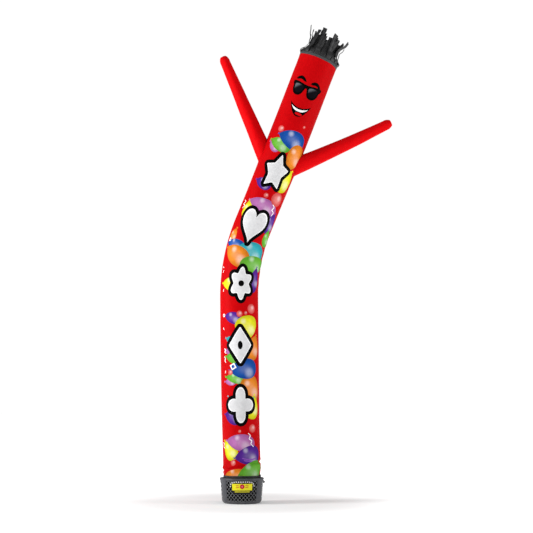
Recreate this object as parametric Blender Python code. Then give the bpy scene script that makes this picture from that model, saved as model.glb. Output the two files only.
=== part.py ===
"""Inflatable air dancer: a waving nylon tube with two arms and a fringe of hair, on a drum blower.

Frame: metres, +Z up, +X to the dancer's right-hand side as seen from the front, the front faces -Y.
The origin is the middle of the blower's underside, on the ground.
"""
import math

import bpy
from mathutils import Vector

# The body tube's run: pieces of (length, lean at start, lean at end), lean in degrees from upright
# towards +X. It stands up from the neck, bends at the waist and leaves the head leaning over.
BODY_RUNS = (
    (0.05, 0.0, 0.0),
    (0.30, 0.0, -2.0),
    (0.50, -2.0, -1.0),
    (1.27, -1.0, -0.6),
    (0.92, -0.6, 22.3),
    (2.170, 22.3, 20.4),
)
BEND_RUN = 4
BODY_LENGTH = sum(run[0] for run in BODY_RUNS)
CUFF_BOTTOM = 0.302
CUFF_RADIUS = 0.2150
FOOT_RADIUS = 0.2225
WAIST_RADIUS = 0.2285
HEAD_RADIUS = 0.2390
CLOTH = 0.0012
ROUND_SIDES = 40
GAP = 0.0003

# Stations along the body where a ring of the tube is set
CUFF_STATIONS = (0.0, 0.015, 0.030, 0.045, 0.062, 0.082, 0.104, 0.128, 0.152, 0.178, 0.208, 0.250, 0.350)
LOWER_STATIONS = (0.60, 0.85, 1.45, 2.12)
BEND_RINGS = 8
UPPER_STATIONS = (3.30, 3.55, 3.80, 4.05, 4.30, 4.75, 5.10)
BAND_HEIGHT = 0.030
RIM_SLANT = 2.4

# Cuff: drawn in under the strap, with gathers, a bulge and one slanting crease round it
STRAP_HEIGHT = 0.026
SWELL_END = 0.105
GATHER_COUNT = 12
GATHER_DEPTH = 0.0022
GATHER_MIDDLE = 0.058
GATHER_SPREAD = 0.020
BULGE_RISE = 0.0035
BULGE_MIDDLE = 0.112
BULGE_SPREAD = 0.030
CREASE_MIDDLE = 0.134
CREASE_SLANT = 0.048
CREASE_DEPTH = 0.0090
CREASE_SPREAD = 0.015

# Arms: each leaves the body's axis at the shoulder and tapers to a blunt closed tip
SHOULDER_STATION = 3.688
ARM_LENGTH = 1.563
ARM_INSIDE = 0.10
ARM_ROOT_RADIUS = 0.1134
ARM_TIP_RADIUS = 0.0626
ARM_CAP_LENGTH = 0.060
ARM_CAP_RADIUS = 0.036
ARM_SIDES = 18
ARM_RINGS = 8
ARM_HOLE_MARGIN = 0.005
# (name, side, splay from the body's axis, bow along the arm), angles in degrees
ARMS = (("arm_left", -1, 44.7, 0.0), ("arm_right", 1, 46.4, -5.0))

# Hair: strips on a header tape, in turn an inner and an outer one
STRIP_COUNT = 20
STRIP_WIDTH = 0.058
STRIP_ROWS = 6
HEADER_DEPTH = 0.030
HEADER_RISE = 0.006
# (length, radius at the pinch, radius at the tip) of each strip, from just right of the front, round
# by the right-hand side; the front ones make two clumps with lower strips between them, and the ones
# at either side flare out
STRIPS = (
    (0.225, 0.165, 0.160), (0.328, 0.200, 0.212), (0.285, 0.168, 0.208), (0.240, 0.205, 0.225),
    (0.325, 0.176, 0.262), (0.250, 0.208, 0.240), (0.270, 0.165, 0.185), (0.300, 0.205, 0.195),
    (0.270, 0.158, 0.165), (0.230, 0.202, 0.180), (0.215, 0.160, 0.150), (0.280, 0.204, 0.185),
    (0.300, 0.160, 0.160), (0.275, 0.205, 0.205), (0.270, 0.170, 0.215), (0.358, 0.192, 0.246),
    (0.245, 0.166, 0.168), (0.325, 0.200, 0.174), (0.365, 0.158, 0.158), (0.265, 0.200, 0.182),
)
BILLOW = 0.014
BILLOW_HEIGHT = 0.055
BILLOW_SPREAD = 0.030
PINCH_HEIGHT = 0.150

# Rim band and strap
BAND_THICKNESS = 0.0018
STRAP_THICKNESS = 0.0040
BUCKLE_ANGLE = 78.0
BUCKLE_WIDTH = 0.046
BUCKLE_HEIGHT = 0.034
BUCKLE_DEPTH = 0.012
BUCKLE_BEVEL = 0.003

# Blower drum
DRUM_HEIGHT = 0.300
DRUM_TOP_RADIUS = 0.2590
DRUM_LOW_RADIUS = 0.2350
DRUM_FLAT_RADIUS = 0.1900
DRUM_CORNER_HEIGHT = 0.045
LIP_BOTTOM = 0.280
LIP_RADIUS = 0.2620
WALL = 0.003
NECK_RADIUS = 0.2127
NECK_TOP = 0.334
DRUM_SIDES = 72
CORNER_STEPS = 5
WINDOW_COUNT = 3
WINDOW_HALF_ANGLE = 47.0
WINDOW_BOTTOM = 0.030
WINDOW_TOP = 0.272
GRILLE_THICKNESS = 0.0016
GRILLE_INSET = 0.0006
GRILLE_COLUMNS = 20
GRILLE_ROWS = 4

# Label plate, on the front grille
LABEL_ANGLE = 2.0
LABEL_HALF_ANGLE = 27.5
LABEL_BOTTOM = 0.124
LABEL_TOP = 0.240
LABEL_THICKNESS = 0.002
LABEL_CHAMFER = 0.022
LABEL_COLUMNS = 14

# Power inlet, a cable gland on a flange
INLET_ANGLE = 84.0
INLET_HEIGHT = 0.250
INLET_FLANGE_RADIUS = 0.018
INLET_FLANGE_DEPTH = 0.0035
INLET_BARREL_RADIUS = 0.0115
INLET_BARREL_DEPTH = 0.016
INLET_BORE_RADIUS = 0.006
INLET_BORE_DEPTH = 0.010
INLET_SIDES = 32
INLET_STANDOFF = 0.0012

RED = (0.76, 0.005, 0.008)
BLACK_CLOTH = (0.020, 0.020, 0.022)
GREY_BAND = (0.070, 0.078, 0.086)
HOUSING_GREY = (0.050, 0.052, 0.060)
LABEL_YELLOW = (0.90, 0.72, 0.02)


def smooth(t):
    """Soft step from 0 to 1."""
    t = min(max(t, 0.0), 1.0)
    return t * t * (3.0 - 2.0 * t)


def hump(distance, spread):
    """Bell of height 1 round zero."""
    return math.exp(-(distance / spread) ** 2)


def arc_step(length, lean_from, lean_to):
    """Sideways and upward travel along an arc that turns from one lean to another (radians)."""
    turn = lean_to - lean_from
    if abs(turn) < 1e-9:
        return length * math.sin(lean_from), length * math.cos(lean_from)
    radius = length / turn
    sideways = radius * (math.cos(lean_from) - math.cos(lean_to))
    upward = radius * (math.sin(lean_to) - math.sin(lean_from))
    return sideways, upward


def body_frame(station):
    """Axis point and lean of the body at a distance along it from the cuff's edge."""
    x, z, lean = 0.0, CUFF_BOTTOM, 0.0
    left = station
    for length, lean_from, lean_to in BODY_RUNS:
        here = min(left, length)
        lean = math.radians(lean_from + (lean_to - lean_from) * here / length)
        dx, dz = arc_step(here, math.radians(lean_from), lean)
        x += dx
        z += dz
        left -= here
        if left <= 0.0:
            break
    return Vector((x, 0.0, z)), lean


def around(centre, lean, radius, angle, rise=0.0):
    """Point at an angle round a leaning axis; angle 0 faces the front and 90 degrees faces +X."""
    sideways = Vector((math.cos(lean), 0.0, -math.sin(lean)))
    along = Vector((math.sin(lean), 0.0, math.cos(lean)))
    front = Vector((0.0, -1.0, 0.0))
    return centre + radius * (math.cos(angle) * front + math.sin(angle) * sideways) + rise * along


def ring_frame(station):
    """Axis point and lean of a ring; the rim under its band stands on a slight slant."""
    past = station - (BODY_LENGTH - BAND_HEIGHT)
    centre, lean = body_frame(min(station, BODY_LENGTH - BAND_HEIGHT))
    if past >= 0.0:
        lean += math.radians(RIM_SLANT)
        centre += past * Vector((math.sin(lean), 0.0, math.cos(lean)))
    return centre, lean


def body_radius(station, angle):
    """Outer radius of the cloth, with the cuff's gathers, bulge and slanting crease."""
    swell = WAIST_RADIUS - FOOT_RADIUS
    full = FOOT_RADIUS + swell * smooth((station - 0.25) / 1.4)
    full += (HEAD_RADIUS - WAIST_RADIUS) * smooth((station - 3.3) / 0.9)
    loose = smooth((station - STRAP_HEIGHT) / (SWELL_END - STRAP_HEIGHT))
    radius = CUFF_RADIUS + (full - CUFF_RADIUS) * loose
    if station <= STRAP_HEIGHT + 0.005:
        return radius
    gather = math.cos(GATHER_COUNT * angle) * hump(station - GATHER_MIDDLE, GATHER_SPREAD)
    crease_at = CREASE_MIDDLE + CREASE_SLANT * math.sin(angle)
    crease = hump(station - crease_at, CREASE_SPREAD) * (0.65 + 0.35 * math.sin(angle + 0.5))
    bulge = hump(station - BULGE_MIDDLE, BULGE_SPREAD)
    return radius + GATHER_DEPTH * gather + BULGE_RISE * bulge - CREASE_DEPTH * crease


def new_object(name, mesh, colour, roughness, metallic=0.0):
    """Object with a material of its own, round parts shaded smooth."""
    material = bpy.data.materials.new(name + "_finish")
    material.use_nodes = True
    shader = material.node_tree.nodes["Principled BSDF"]
    shader.inputs["Base Color"].default_value = (*colour, 1.0)
    shader.inputs["Roughness"].default_value = roughness
    shader.inputs["Metallic"].default_value = metallic
    mesh.materials.append(material)
    mesh.shade_smooth()
    mesh.set_sharp_from_angle(angle=math.radians(35.0))
    placed = bpy.data.objects.new(name, mesh)
    bpy.context.scene.collection.objects.link(placed)
    return placed


def mesh_from(name, points, faces):
    mesh = bpy.data.meshes.new(name)
    mesh.from_pydata([tuple(point) for point in points], [], faces)
    mesh.update()
    return mesh


def ring_faces(ring_count, sides, closed_loop=False):
    """Quads between neighbouring rings; a closed loop joins the last ring to the first."""
    faces = []
    last = ring_count if closed_loop else ring_count - 1
    for ring in range(last):
        low = ring * sides
        high = ((ring + 1) % ring_count) * sides
        for side in range(sides):
            after = (side + 1) % sides
            faces.append((low + side, low + after, high + after, high + side))
    return faces


def loft_shell(name, outer_rings, inner_rings):
    """Open tube with a wall: outer rings from the bottom up, inner rings back down."""
    rings = outer_rings + inner_rings[::-1]
    sides = len(rings[0])
    points = [point for ring in rings for point in ring]
    return mesh_from(name, points, ring_faces(len(rings), sides, closed_loop=True))


def loft_solid(name, rings):
    """Closed solid through rings, with flat ends."""
    sides = len(rings[0])
    points = [point for ring in rings for point in ring]
    faces = ring_faces(len(rings), sides)
    faces.append(tuple(range(sides))[::-1])
    faces.append(tuple((len(rings) - 1) * sides + side for side in range(sides)))
    return mesh_from(name, points, faces)


def turned(name, profile, sides):
    """Body of revolution about Z from a profile that starts and ends on the axis."""
    points = [(0.0, 0.0, profile[0][1])]
    rings = profile[1:-1]
    for radius, height in rings:
        for side in range(sides):
            angle = 2.0 * math.pi * side / sides
            points.append((radius * math.sin(angle), -radius * math.cos(angle), height))
    points.append((0.0, 0.0, profile[-1][1]))
    faces = [tuple(1 + index for index in face) for face in ring_faces(len(rings), sides)]
    top = len(points) - 1
    last_ring = 1 + (len(rings) - 1) * sides
    for side in range(sides):
        after = (side + 1) % sides
        faces.append((0, 1 + after, 1 + side))
        faces.append((top, last_ring + side, last_ring + after))
    return mesh_from(name, points, faces)


def cut_away(target, cutter):
    """Boolean difference that stays on the object; the cutter is hidden from the build."""
    cutter.hide_render = True
    cutter.display_type = "WIRE"
    cut = target.modifiers.new("cut_" + cutter.name, "BOOLEAN")
    cut.operation = "DIFFERENCE"
    cut.object = cutter


def guide_object(name, mesh):
    guide = bpy.data.objects.new(name, mesh)
    bpy.context.scene.collection.objects.link(guide)
    return guide


def body_stations():
    bend_start = sum(run[0] for run in BODY_RUNS[:BEND_RUN])
    bend_length = BODY_RUNS[BEND_RUN][0]
    bend = [bend_start + bend_length * (step + 1) / BEND_RINGS for step in range(BEND_RINGS)]
    top = (BODY_LENGTH - BAND_HEIGHT, BODY_LENGTH)
    return list(CUFF_STATIONS) + list(LOWER_STATIONS) + bend + list(UPPER_STATIONS) + list(top)


def body_ring(station, grow=0.0):
    centre, lean = ring_frame(station)
    angles = [2.0 * math.pi * side / ROUND_SIDES for side in range(ROUND_SIDES)]
    return [around(centre, lean, body_radius(station, angle) + grow, angle) for angle in angles]


def arm_frame(arm, distance):
    """Axis point and lean of an arm at a distance from the body's axis."""
    name, side, splay, bow = arm
    root, body_lean = body_frame(SHOULDER_STATION)
    lean_from = body_lean + side * math.radians(splay)
    lean_to = lean_from + math.radians(bow)
    lean = lean_from + (lean_to - lean_from) * distance / ARM_LENGTH
    dx, dz = arc_step(distance, lean_from, lean)
    return root + Vector((dx, 0.0, dz)), lean


def arm_radius(distance):
    straight = ARM_LENGTH - ARM_CAP_LENGTH
    if distance <= straight:
        return ARM_ROOT_RADIUS + (ARM_TIP_RADIUS - ARM_ROOT_RADIUS) * distance / straight
    cap = (distance - straight) / ARM_CAP_LENGTH
    return ARM_TIP_RADIUS + (ARM_CAP_RADIUS - ARM_TIP_RADIUS) * cap ** 1.6


def arm_rings(arm, shrink, stop):
    """Rings of an arm out to a distance from the body's axis, with three more round the blunt tip."""
    straight = ARM_LENGTH - ARM_CAP_LENGTH
    distances = [ARM_INSIDE + (straight - ARM_INSIDE) * ring / (ARM_RINGS - 1) for ring in range(ARM_RINGS)]
    distances += [straight + (stop - straight) * part for part in (0.45, 0.8, 1.0)]
    rings = []
    for distance in distances:
        centre, lean = arm_frame(arm, distance)
        radius = arm_radius(min(distance, ARM_LENGTH)) - shrink
        angles = [2.0 * math.pi * step / ARM_SIDES for step in range(ARM_SIDES)]
        rings.append([around(centre, lean, radius, angle) for angle in angles])
    return rings


def make_arm(arm, body_core):
    """Sleeve with a closed tip: outer and inner skins, trimmed to sit on the body tube."""
    outer = arm_rings(arm, 0.0, ARM_LENGTH)
    inner = arm_rings(arm, CLOTH, ARM_LENGTH - CLOTH)
    rings = inner[::-1] + outer
    points = [point for ring in rings for point in ring]
    faces = ring_faces(len(rings), ARM_SIDES)
    faces.append(tuple(range(ARM_SIDES))[::-1])
    faces.append(tuple((len(rings) - 1) * ARM_SIDES + step for step in range(ARM_SIDES)))
    sleeve = new_object(arm[0], mesh_from(arm[0], points, faces), RED, 0.5)
    cut_away(sleeve, body_core)


def make_arm_hole(arm):
    """Cutter for the opening in the body tube where an arm's air goes through."""
    name = arm[0] + "_hole_guide"
    return guide_object(name, loft_solid(name, arm_rings(arm, ARM_HOLE_MARGIN, ARM_LENGTH)[:ARM_RINGS // 2]))


def make_body():
    """The tube, its cuff and hems, with an opening at each arm's root, and the core that trims the arms."""
    stations = body_stations()
    outer = [body_ring(station) for station in stations]
    inner = [body_ring(station, -CLOTH) for station in stations]
    body = new_object("body_tube", loft_shell("body_tube", outer, inner), RED, 0.5)
    core_rings = [body_ring(station, GAP) for station in stations if station > 2.0]
    core = guide_object("body_core_guide", loft_solid("body_core_guide", core_rings))
    for arm in ARMS:
        make_arm(arm, core)
        cut_away(body, make_arm_hole(arm))


def make_band(name, low, high, inner_gap, thickness, colour, roughness):
    """Ring of webbing round the body between two stations."""
    outer = [body_ring(station, inner_gap + thickness) for station in (low, high)]
    inner = [body_ring(station, inner_gap) for station in (low, high)]
    new_object(name, loft_shell(name, outer, inner), colour, roughness)


def header_radius():
    """Radius of the header tape, just inside the flats of the tube's many-sided rim."""
    return (HEAD_RADIUS - CLOTH) * math.cos(math.pi / ROUND_SIDES) - GAP


def strip_radius(strip, rise):
    """Distance of a strip from the head's axis: a small billow, a pinch, then a spread to the tip."""
    length, pinch_radius, tip_radius = STRIPS[strip]
    inward = smooth(rise / PINCH_HEIGHT)
    outward = smooth((rise - PINCH_HEIGHT) / (length - PINCH_HEIGHT))
    radius = header_radius() + (pinch_radius - header_radius()) * inward
    return radius + (tip_radius - pinch_radius) * outward + BILLOW * hump(rise - BILLOW_HEIGHT, BILLOW_SPREAD)


def strip_point(strip, rise, offset):
    """Point on a hair strip: rise above the rim and offset across the strip, which flattens as it rises."""
    centre, lean = ring_frame(BODY_LENGTH)
    angle = 2.0 * math.pi * (strip + 0.5) / STRIP_COUNT
    half_angle = math.asin(abs(offset) / header_radius())
    curl = header_radius() * (1.0 - math.cos(half_angle)) * (1.0 - smooth(rise / PINCH_HEIGHT))
    middle = around(centre, lean, strip_radius(strip, rise) - curl, angle, rise)
    across = around(centre, lean, 1.0, angle + math.pi / 2.0) - centre
    return middle + offset * across


def make_streamers():
    """One comb: a header tape inside the rim and its strips, thickened inwards."""
    offsets = (-STRIP_WIDTH / 2.0, 0.0, STRIP_WIDTH / 2.0)
    columns = len(offsets)
    centre, lean = ring_frame(BODY_LENGTH)
    points = []
    for rise in (-HEADER_DEPTH, HEADER_RISE):
        for strip in range(STRIP_COUNT):
            angle = 2.0 * math.pi * (strip + 0.5) / STRIP_COUNT
            for offset in offsets:
                turn = math.asin(offset / header_radius())
                points.append(around(centre, lean, header_radius(), angle + turn, rise))
    ring = STRIP_COUNT * columns
    faces = []
    for step in range(ring):
        after = (step + 1) % ring
        faces.append((step, after, ring + after, ring + step))
    for strip in range(STRIP_COUNT):
        below = [ring + strip * columns + column for column in range(columns)]
        length = STRIPS[strip][0]
        for row in range(1, STRIP_ROWS + 1):
            rise = HEADER_RISE + (length - HEADER_RISE) * row / STRIP_ROWS
            above = []
            for offset in offsets:
                above.append(len(points))
                points.append(strip_point(strip, rise, offset))
            for column in range(columns - 1):
                faces.append((below[column], below[column + 1], above[column + 1], above[column]))
            below = above
    comb = new_object("streamers", mesh_from("streamers", points, faces), BLACK_CLOTH, 0.45)
    wall = comb.modifiers.new("strip_thickness", "SOLIDIFY")
    wall.thickness = CLOTH
    wall.offset = -1.0


def drum_wall_radius(height):
    """Outer radius of the drum's wall, round the lower corner and up the taper."""
    if height >= DRUM_CORNER_HEIGHT:
        part = (height - DRUM_CORNER_HEIGHT) / (LIP_BOTTOM - DRUM_CORNER_HEIGHT)
        return DRUM_LOW_RADIUS + (DRUM_TOP_RADIUS - DRUM_LOW_RADIUS) * part
    part = 1.0 - height / DRUM_CORNER_HEIGHT
    return DRUM_FLAT_RADIUS + (DRUM_LOW_RADIUS - DRUM_FLAT_RADIUS) * math.sqrt(max(0.0, 1.0 - part * part))


def corner_heights():
    """Heights round the drum's lower corner, closer together near the floor."""
    steps = [math.pi / 2.0 * step / CORNER_STEPS for step in range(1, CORNER_STEPS + 1)]
    return [DRUM_CORNER_HEIGHT * (1.0 - math.cos(step)) for step in steps]


def make_housing():
    """Drum with a rolled lip, a deck and the neck that the cuff is strapped to, cut by three windows."""
    deck = DRUM_HEIGHT
    profile = [(0.0, 0.0), (DRUM_FLAT_RADIUS, 0.0)]
    profile += [(drum_wall_radius(height), height) for height in corner_heights()]
    profile += [
        (DRUM_TOP_RADIUS, LIP_BOTTOM), (LIP_RADIUS, LIP_BOTTOM + 0.004), (LIP_RADIUS, deck - 0.006),
        (LIP_RADIUS - 0.003, deck - 0.001), (LIP_RADIUS - 0.006, deck), (NECK_RADIUS, deck),
        (NECK_RADIUS, NECK_TOP - 0.002), (NECK_RADIUS - 0.001, NECK_TOP), (NECK_RADIUS - WALL, NECK_TOP),
        (NECK_RADIUS - WALL, deck - WALL), (DRUM_TOP_RADIUS - WALL, deck - WALL),
        (DRUM_TOP_RADIUS - WALL, LIP_BOTTOM),
    ]
    inner = [(drum_wall_radius(height) - WALL, height + WALL * 0.5) for height in corner_heights()]
    profile += inner[::-1]
    profile += [(DRUM_FLAT_RADIUS - WALL, WALL), (0.0, WALL)]
    housing = new_object("blower_housing", turned("blower_housing", profile, DRUM_SIDES), HOUSING_GREY, 0.4)
    for window in range(WINDOW_COUNT):
        middle = math.radians(360.0 / WINDOW_COUNT * window)
        cut_away(housing, make_window_cutter(f"window_guide_{window}", middle))


def sector_panel(name, middle, half_angle, columns, heights, outer_radius, thickness):
    """Curved panel between two angles, through rows of heights, with its own wall thickness."""
    points = []
    row_size = columns + 1
    for depth in (0.0, thickness):
        for height in heights:
            for column in range(row_size):
                angle = middle + half_angle * (2.0 * column / columns - 1.0)
                radius = outer_radius(height) - depth
                points.append((radius * math.sin(angle), -radius * math.cos(angle), height))
    layer = row_size * len(heights)
    faces = []
    for row in range(len(heights) - 1):
        for column in range(columns):
            a = row * row_size + column
            quad = (a, a + 1, a + row_size + 1, a + row_size)
            faces.append(quad)
            faces.append(tuple(layer + index for index in quad[::-1]))
    bottom = list(range(row_size))
    right = [row * row_size + columns for row in range(1, len(heights))]
    top = [(len(heights) - 1) * row_size + column for column in range(columns - 1, -1, -1)]
    left = [row * row_size for row in range(len(heights) - 2, 0, -1)]
    edge = bottom + right + top + left
    for index, start in enumerate(edge):
        end = edge[(index + 1) % len(edge)]
        faces.append((start, start + layer, end + layer, end))
    return mesh_from(name, points, faces)


def make_window_cutter(name, middle):
    heights = (WINDOW_BOTTOM, WINDOW_TOP)
    half_angle = math.radians(WINDOW_HALF_ANGLE)
    panel = sector_panel(name, middle, half_angle, GRILLE_COLUMNS, heights, lambda height: 0.30, 0.14)
    return guide_object(name, panel)


def make_grilles():
    """Perforated sheets, plain here, one set in each window with a hair's gap all round."""
    names = ("grille_front", "grille_right", "grille_left")
    low, high = WINDOW_BOTTOM + GAP, WINDOW_TOP - GAP
    corner_top = DRUM_CORNER_HEIGHT
    heights = [low, (low + corner_top) / 2.0, corner_top]
    heights += [corner_top + (high - corner_top) * row / GRILLE_ROWS for row in range(1, GRILLE_ROWS + 1)]
    half_angle = math.radians(WINDOW_HALF_ANGLE) - 2.0 * GAP / DRUM_LOW_RADIUS
    for window, name in enumerate(names):
        middle = math.radians(360.0 / WINDOW_COUNT * window)
        mesh = sector_panel(
            name, middle, half_angle, GRILLE_COLUMNS, heights,
            lambda height: drum_wall_radius(height) - GRILLE_INSET, GRILLE_THICKNESS,
        )
        new_object(name, mesh, HOUSING_GREY, 0.45)


def make_label():
    """Curved plate with clipped lower corners, standing just off the grille."""
    half_angle = math.radians(LABEL_HALF_ANGLE)
    middle = math.radians(LABEL_ANGLE)
    stand_off = lambda height: drum_wall_radius(height) + LABEL_THICKNESS + 2.0 * GAP
    heights = (LABEL_BOTTOM, LABEL_BOTTOM + LABEL_CHAMFER, LABEL_TOP)
    mesh = sector_panel("label_plate", middle, half_angle, LABEL_COLUMNS, heights, stand_off, LABEL_THICKNESS)
    clip = LABEL_CHAMFER / DRUM_LOW_RADIUS
    for vertex in mesh.vertices:
        if vertex.co.z < LABEL_BOTTOM + 0.5 * LABEL_CHAMFER:
            radius = math.hypot(vertex.co.x, vertex.co.y)
            angle = math.atan2(vertex.co.x, -vertex.co.y) - middle
            angle = middle + angle * (half_angle - clip) / half_angle
            vertex.co.x = radius * math.sin(angle)
            vertex.co.y = -radius * math.cos(angle)
    new_object("label_plate", mesh, LABEL_YELLOW, 0.35)


def make_inlet():
    """Round flange and barrel with a blind bore, pointing out of the drum's side."""
    profile = [
        (0.0, 0.0), (INLET_FLANGE_RADIUS, 0.0), (INLET_FLANGE_RADIUS, INLET_FLANGE_DEPTH),
        (INLET_BARREL_RADIUS, INLET_FLANGE_DEPTH), (INLET_BARREL_RADIUS, INLET_BARREL_DEPTH - 0.002),
        (INLET_BARREL_RADIUS - 0.002, INLET_BARREL_DEPTH), (INLET_BORE_RADIUS, INLET_BARREL_DEPTH),
        (INLET_BORE_RADIUS, INLET_BARREL_DEPTH - INLET_BORE_DEPTH),
        (0.0, INLET_BARREL_DEPTH - INLET_BORE_DEPTH),
    ]
    inlet = new_object("power_inlet", turned("power_inlet", profile, INLET_SIDES), BLACK_CLOTH, 0.4)
    angle = math.radians(INLET_ANGLE)
    radius = drum_wall_radius(INLET_HEIGHT + INLET_FLANGE_RADIUS) + INLET_STANDOFF
    inlet.location = (radius * math.sin(angle), -radius * math.cos(angle), INLET_HEIGHT)
    inlet.rotation_euler = (0.0, math.pi / 2.0, angle - math.pi / 2.0)


def make_buckle():
    """Cam buckle: a rounded frame with a raised lever, against the strap."""
    angle = math.radians(BUCKLE_ANGLE)
    half_width, half_height = BUCKLE_WIDTH / 2.0, BUCKLE_HEIGHT / 2.0
    lever = ((-half_width, 0.0), (half_width, 0.0), (half_width, 0.5 * BUCKLE_DEPTH),
             (0.35 * half_width, BUCKLE_DEPTH), (-half_width, 0.7 * BUCKLE_DEPTH))
    points = []
    for z in (-half_height, half_height):
        points += [(x, -y, z) for x, y in lever]
    count = len(lever)
    faces = [tuple(range(count)), tuple(range(count, 2 * count))[::-1]]
    for step in range(count):
        after = (step + 1) % count
        faces.append((step, step + count, after + count, after))
    buckle = new_object("strap_buckle", mesh_from("strap_buckle", points, faces), BLACK_CLOTH, 0.3)
    rounding = buckle.modifiers.new("rounding", "BEVEL")
    rounding.width = BUCKLE_BEVEL
    rounding.segments = 2
    radius = CUFF_RADIUS + GAP + STRAP_THICKNESS + GAP
    buckle.location = (
        radius * math.sin(angle), -radius * math.cos(angle), CUFF_BOTTOM + 0.002 + BUCKLE_HEIGHT / 2.0,
    )
    buckle.rotation_euler = (0.0, 0.0, angle)


def clear_scene():
    for leftover in list(bpy.data.objects):
        bpy.data.objects.remove(leftover, do_unlink=True)


def main():
    clear_scene()
    make_body()
    make_band("rim_band", BODY_LENGTH - BAND_HEIGHT, BODY_LENGTH, GAP, BAND_THICKNESS, GREY_BAND, 0.5)
    make_streamers()
    make_band("strap", 0.001, STRAP_HEIGHT, GAP, STRAP_THICKNESS, BLACK_CLOTH, 0.3)
    make_buckle()
    make_housing()
    make_grilles()
    make_label()
    make_inlet()


main()
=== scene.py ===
"""Looks of the inflatable air dancer: printed nylon tube and sleeves, hair, bindings and the blower.

Metres, +Z up, the front faces -Y, and +X is to the right as seen from the front. Flat cloth is laid
out with u round the tube (0 at the front, towards +X) and v up it from the cuff's edge.
"""
import math

import bmesh
import bpy
import mathutils
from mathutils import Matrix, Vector, noise


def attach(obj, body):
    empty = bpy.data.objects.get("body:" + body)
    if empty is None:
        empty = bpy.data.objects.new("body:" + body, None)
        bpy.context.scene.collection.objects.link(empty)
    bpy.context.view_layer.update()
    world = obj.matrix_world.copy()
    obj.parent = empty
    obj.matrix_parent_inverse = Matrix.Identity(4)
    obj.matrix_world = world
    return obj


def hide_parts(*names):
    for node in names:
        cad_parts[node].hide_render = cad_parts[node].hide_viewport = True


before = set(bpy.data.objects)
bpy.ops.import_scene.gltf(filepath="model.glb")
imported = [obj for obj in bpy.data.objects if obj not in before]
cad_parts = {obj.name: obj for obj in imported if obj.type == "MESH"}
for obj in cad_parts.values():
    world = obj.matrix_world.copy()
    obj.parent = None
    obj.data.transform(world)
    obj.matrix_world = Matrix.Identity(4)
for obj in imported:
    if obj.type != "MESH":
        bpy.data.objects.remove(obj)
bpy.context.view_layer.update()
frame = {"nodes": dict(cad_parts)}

scene = bpy.context.scene
BODY = "root"
FULL_TURN = 2.0 * math.pi
UNIT_SQUARE = ((-1, -1), (1, -1), (1, 1), (-1, 1))

# The tube's run: (length, lean at start, lean at end), lean in degrees from upright towards +X
BODY_RUNS = (
    (0.05, 0.0, 0.0),
    (0.30, 0.0, -2.0),
    (0.50, -2.0, -1.0),
    (1.27, -1.0, -0.6),
    (0.92, -0.6, 22.3),
    (2.170, 22.3, 20.4),
)
BODY_LENGTH = sum(run[0] for run in BODY_RUNS)
CUFF_BOTTOM = 0.302
CUFF_RADIUS = 0.2150
FOOT_RADIUS = 0.2225
WAIST_RADIUS = 0.2285
HEAD_RADIUS = 0.2390
# Stations where the tube starts to widen to its waist and to its head, and how long each takes
WAIST_START = 0.25
WAIST_RUN = 1.4
HEAD_START = 3.3
HEAD_RUN = 0.9
BAND_HEIGHT = 0.030
RIM_SLANT = 2.4
CLOTH = 0.0012
GAP = 0.0003

# Cuff: gathers, a bulge and one slanting crease
STRAP_HEIGHT = 0.026
SWELL_END = 0.105
GATHER_COUNT = 12
GATHER_DEPTH = 0.0022
GATHER_MIDDLE = 0.058
GATHER_SPREAD = 0.020
BULGE_RISE = 0.0035
BULGE_MIDDLE = 0.112
BULGE_SPREAD = 0.030
CREASE_MIDDLE = 0.134
CREASE_SLANT = 0.048
CREASE_DEPTH = 0.0090
CREASE_SPREAD = 0.015
PUCKER_COUNT = 44
PUCKER_DEPTH = 0.0014
PUCKER_MIDDLE = 0.040
PUCKER_SPREAD = 0.013

# Soft troughs of the body cloth: (angle round in degrees, station, depth, half width along the tube,
# half width round it in degrees, slant in metres of station a radian)
TROUGHS = (
    (84.0, 2.24, 0.0012, 0.030, 34.0, 0.03),
    (98.0, 2.37, 0.0018, 0.026, 38.0, -0.05),
    (76.0, 2.51, 0.0020, 0.030, 42.0, 0.04),
    (96.0, 2.65, 0.0022, 0.028, 40.0, -0.03),
    (82.0, 2.79, 0.0020, 0.026, 38.0, 0.05),
    (100.0, 2.93, 0.0014, 0.030, 34.0, -0.04),
    (-150.0, 0.62, 0.0030, 0.050, 40.0, 0.10),
    (150.0, 1.30, 0.0030, 0.060, 36.0, -0.12),
    (-140.0, 1.92, 0.0025, 0.050, 34.0, 0.12),
    (140.0, 4.62, 0.0030, 0.060, 34.0, 0.14),
    (-140.0, 4.95, 0.0030, 0.050, 36.0, -0.12),
)
FOLD_DEPTH = 0.0055
FOLD_LIP = 0.0050
RIM_WAVES = 7
RIM_WAVE_DEPTH = 0.0026
RIM_WAVE_RUN = 0.30

# Arms
SHOULDER_STATION = 3.688
ARM_LENGTH = 1.563
ARM_INSIDE = 0.10
ARM_ROOT_RADIUS = 0.1134
ARM_TIP_RADIUS = 0.0626
ARM_CAP_LENGTH = 0.060
ARM_CAP_RADIUS = 0.036
ARM_STRAIGHT = ARM_LENGTH - ARM_CAP_LENGTH
# (name, CAD node, side, splay from the body's axis, bow along the arm), angles in degrees
ARMS = (("left_sleeve", "arm_left", -1, 44.7, 0.0), ("right_sleeve", "arm_right", 1, 46.4, -5.0))
ARM_REACH = {"left_sleeve": 0.020, "right_sleeve": 0.0}
ARM_COLUMNS = 72
ARM_ROWS = 64
ARM_RIDGES = 6
ARM_RIDGE_RISE = 0.0030
ARM_DENT_DEPTH = 0.0022

# Hair
STRIP_COUNT = 20
STRIP_WIDTH = 0.066
HEADER_DEPTH = 0.030
HEADER_RISE = 0.006
PINCH_HEIGHT = 0.150
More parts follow.
